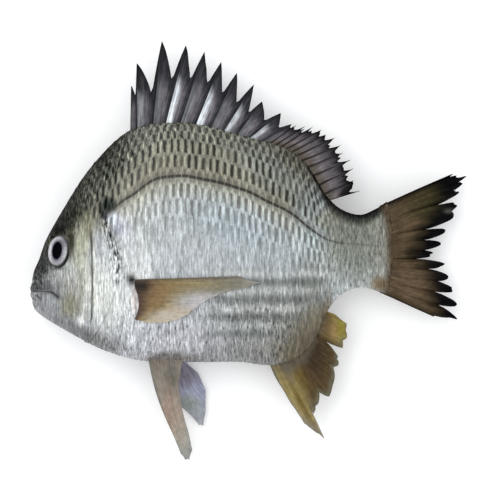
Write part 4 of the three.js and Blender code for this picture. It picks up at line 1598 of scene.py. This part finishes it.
# %% The fin behind the vent
ANAL_RAYS = [
    (137.2, 142, -75.8, 1), (139, 149.3, -88, 1), (141.4, 157.2, -99.8, 1),
    (144.6, 168.3, -108.7, 0.8), (148, 163, -94, 0.96), (151.4, 164.8, -87.9, 0.86),
    (154.4, 171.4, -84.6, 1), (157, 174.3, -73.4, 0.92), (160, 177.4, -65.1, 0.96),
    (162.6, 176, -61, 0.56), (165, 179, -56.2, 0.94), (167, 181.6, -50, 0.97),
    (168.6, 181, -42.5, 0.96), (169.6, 174.5, -37.2, 1),
]
ANAL_SPINES = 3
ANAL_TONES = [
    (0, (118, 112, 98)), (0.2, (124, 112, 76)), (0.45, (145, 129, 78)),
    (0.75, (152, 135, 84)), (1, (132, 125, 112)),
]

rays = [fin_ray(BELLY_LINE, *ray, SPINE if i < ANAL_SPINES else RAY) for i, ray in enumerate(ANAL_RAYS)]
fan = fan_grid("anal_fin", rays, hollow=1.3, per_gap=12, rows=50, fray=0.05)
share, ray, x, y = fan.share, fan.ray, fan.x, fan.y
rear_lobe = ease(ray, 9.5, 10.5)
tones = paint(ramp(ANAL_TONES, share), [
    ((108, 106, 90), 0.85 * fall(ray, 0.3, 1.4)),
    ((92, 70, 24), 0.7 * oval(ray, share, (2.6, 0.62), (0.35, 0.3))),
    ((80, 63, 40), 0.9 * within(ray, 3.2, 4.8, 9.5, 11.0)),
    ((64, 53, 41), 0.95 * oval(ray, share, (7.6, 0.42), (2.5, 0.38))),
    ((112, 92, 44), 0.7 * oval(ray, share, (4.4, 0.35), (0.9, 0.3))),
    ((104, 90, 62), 0.2 * fan.on_ray * ease(ray, 3.5, 4.5) * ease(share, 0.35, 0.6)),
    ((110, 108, 88), 0.6 * ease(share, 0.84, 0.97) * within(ray, 4, 5, 9, 10)),
    ((140, 122, 58), 0.85 * ease(ray, 9.6, 11.4)),
    ((142, 132, 42), 0.8 * oval(x, y, (177.6, -45), (3.4, 6))),
    ((146, 112, 76), 0.6 * oval(x, y, (173.6, -45), (2.4, 6))),
    ((98, 80, 54), 0.8 * fall(share, 0.4, 0.62) * rear_lobe),
    ((112, 106, 62), 0.7 * ease(share, 0.86, 1) * rear_lobe),
    ((112, 92, 62), 0.7 * oval(x, y, (168, -43), (4, 7))),
    ((100, 92, 79), fall(share, 0.16, 0.42) * ease(ray, 1.5, 3.5)),
])
make_fin(fan, RIPPLE * np.sin(x / 5) * share - 4 * share**2, tones, SOFT_SKIN)

# %% [markdown]
# ## The pelvic fins
#
# A pair hangs from the belly. The upper one lies over the lower one, and both droop
# towards the board, so each is bent down along its length. A ray is typed as the
# position of its root and then its tip.

# %% The pair under the belly
PELVIC_ROOT_Y = -58
PELVIC_FINS = {
    "left_pelvic_fin": dict(
        rays=[
            (66.5, 83.3, -109.5), (70, 86.2, -117.8), (73.5, 88.5, -120.9), (76.5, 90.6, -120.8),
            (79.5, 92.3, -115.6), (83, 89.8, -104.5), (88.5, 85, -91),
        ],
        depths=(6.5, -9),
        tones=[
            (0, (104, 96, 88)), (0.15, (132, 124, 114)), (0.4, (152, 140, 128)),
            (0.65, (168, 152, 137)), (0.85, (168, 162, 150)), (1, (148, 150, 146)),
        ],
        edge=(112, 114, 105),
        patches=[((98, 100, 90), 0.7, (80.6, -73.5), (4, 8)), ((160, 136, 120), 0.6, (79, -92), (3, 16))],
    ),
    "right_pelvic_fin": dict(
        rays=[
            (73, 85, -90), (76, 91, -95), (78.6, 96.4, -101.2), (80.6, 98.6, -101.4),
            (83, 100, -93.5), (85, 100, -81), (86, 95.5, -71),
        ],
        depths=(-6.5, -18),
        tones=[
            (0, (116, 108, 120)), (0.25, (136, 128, 146)), (0.5, (166, 168, 192)),
            (0.75, (166, 172, 180)), (1, (164, 166, 172)),
        ],
        edge=(134, 150, 142),
        patches=[
            ((122, 114, 126), 0.9, (89.4, -72.8), (6, 7)), ((156, 157, 186), 0.8, (96.3, -82.2), (5, 9)),
            ((146, 154, 147), 0.8, (90.6, -88.5), (7, 5)),
        ],
    ),
}
for name, fin in PELVIC_FINS.items():
    halves = [SPINE] + [RAY] * (len(fin["rays"]) - 1)
    rays = [(root_x, PELVIC_ROOT_Y, *tip, 0.99, *half) for (root_x, *tip), half in zip(fin["rays"], halves)]
    fan = fan_grid(name, rays, hollow=0.4, per_gap=18, rows=50, bow=2.3)
    tones = paint(ramp(fin["tones"], fan.share), [(fin["edge"], 0.7 * fall(fan.ray, 0.2, 0.8))])
    for colour, strength, centre, reach in fin["patches"]:
        tones = paint(tones, [(colour, strength * oval(fan.x, fan.y, centre, reach))])
    make_fin(fan, mix(*fin["depths"], ease(fan.share, -0.2, 1.1)), tones, SOFT_SKIN)

# %% [markdown]
# ## The pectoral fins
#
# They fold back flat along the flanks. The sheet follows the skin underneath and stands
# off it by the thickness of the rays, a little more towards the tip. The lower half of
# the fin is so clear that it takes the colour of the belly.

# %% The pair on the flanks
PECTORAL_RAYS = [
    (60, -16.8, 120, -15), (60, -19.2, 131.9, -18.6), (60.4, -21.6, 124, -21.6),
    (61.2, -23.7, 114, -23.6), (61.9, -25.9, 106.7, -26), (62.3, -28.2, 100.5, -29),
    (62.4, -30.5, 95.5, -32.8), (62.2, -32.8, 90.5, -36.6), (61.7, -35, 84.5, -39.9),
    (61, -37.2, 77, -41.3), (60, -39.4, 69.5, -41.4),
]
PECTORAL_TONES = [
    (0, (84, 66, 60)), (0.1, (100, 80, 62)), (0.25, (138, 114, 76)),
    (0.5, (143, 130, 96)), (0.8, (132, 127, 109)), (1, (144, 142, 134)),
]
BOARD_CLEARANCE = 0.9
rays = [(*ray, 0.97, *RAY) for ray in PECTORAL_RAYS]
for name, side in (("left_pectoral_fin", 1), ("right_pectoral_fin", -1)):
    fan = fan_grid(name, rays, per_gap=12, rows=60)
    share, ray, x, y = fan.share, fan.ray, fan.x, fan.y
    stand = mix(0.5, 0.8, share) + 0.5 * (1 - share) * ease(share, 0, 0.1) - 0.2 * ease(ray, 6, 9)
    depth = np.maximum(side * (flank_at(x, y) + stand), RESTING_LEVEL + BOARD_CLEARANCE)
    tones = paint(ramp(PECTORAL_TONES, share), [
        ((138, 112, 74), 0.6 * oval(x, y, (74, -29), (7, 7))),
        ((201, 182, 150), 0.9 * ease(ray, 4.8, 7.4) * ease(share, 0.34, 0.66)),
        ((194, 191, 192), 0.9 * oval(x, y, (98, -30), (14, 6))),
        ((192, 184, 172), 0.8 * oval(x, y, (80, -38), (12, 4))),
        ((50, 48, 45), 0.95 * oval(x, y, (63.4, -20.4), (5, 3.4))),
        ((92, 84, 70), 0.7 * fall(ray, 0.0, 0.8)),
    ])
    make_fin(fan, depth, tones, SOFT_SKIN)

# %% [markdown]
# ## The board
#
# A plain white board shows the fish best. Its finish is almost even, with a grain too
# faint to see, and a little light of its own keeps it pale right up to the fish.

# %% A white board
def white_board():
    board = Recipe("plain_white_board")
    grain = board.fade(board.noise(board.place(), 60.0), 0.2, 0.8, 0.94, 0.96)
    board.set("Base Color", board.node("CombineColor", {0: grain, 1: grain, 2: grain}).outputs[0])
    board.set("Roughness", 0.7)
    board.set("Emission Strength", 0.16)
    board.set("Specular IOR Level", 0.2)
    return board.material


floor = start_piece("floor", bpy.ops.mesh.primitive_plane_add, size=4)
floor.data.materials.append(white_board())
print("The board is 4 m wide")

# %% [markdown]
# ## Light and camera
#
# Broad soft lights and a bright room leave almost no shadow, as in a fishmonger's
# catalogue. The camera looks straight down on the flank, from far off through a long
# lens, so that nothing is foreshortened.

# %% The plain studio
ROOM_COLOUR = (0.97, 0.985, 1, 1)
ROOM_STRENGTH = 0.88
LENS_LENGTH = 300
SENSOR_WIDTH = 36
CAMERA_PLACE = (0.00027, 0.0006, 2.4104)

world = bpy.data.worlds.new("soft_room")
world.use_nodes = True
world.node_tree.nodes["Background"].inputs[0].default_value = ROOM_COLOUR
world.node_tree.nodes["Background"].inputs[1].default_value = ROOM_STRENGTH
scene = bpy.context.scene
scene.world = world


def soft_light(name, place, size, power):
    """A square lamp that looks at the middle of the fish."""
    lamp = bpy.data.lights.new(name, "AREA")
    lamp.size = size
    lamp.energy = power
    stand = bpy.data.objects.new(name, lamp)
    stand.location = place
    direction = Vector((0, 0, 0.02)) - stand.location
    stand.rotation_euler = direction.to_track_quat("-Z", "Y").to_euler()
    scene.collection.objects.link(stand)


soft_light("key_light", (-0.5, 0.35, 1.0), 1.0, 4.3)
soft_light("fill_light", (0.8, -0.6, 0.8), 0.8, 1.5)

lens = bpy.data.cameras.new("camera")
lens.lens = LENS_LENGTH
lens.sensor_width = SENSOR_WIDTH
camera = bpy.data.objects.new("camera", lens)
camera.location = CAMERA_PLACE
scene.collection.objects.link(camera)
bpy.context.scene.camera = camera
scene.view_settings.view_transform = "Standard"
print("The camera is", CAMERA_PLACE[2], "m above the board")
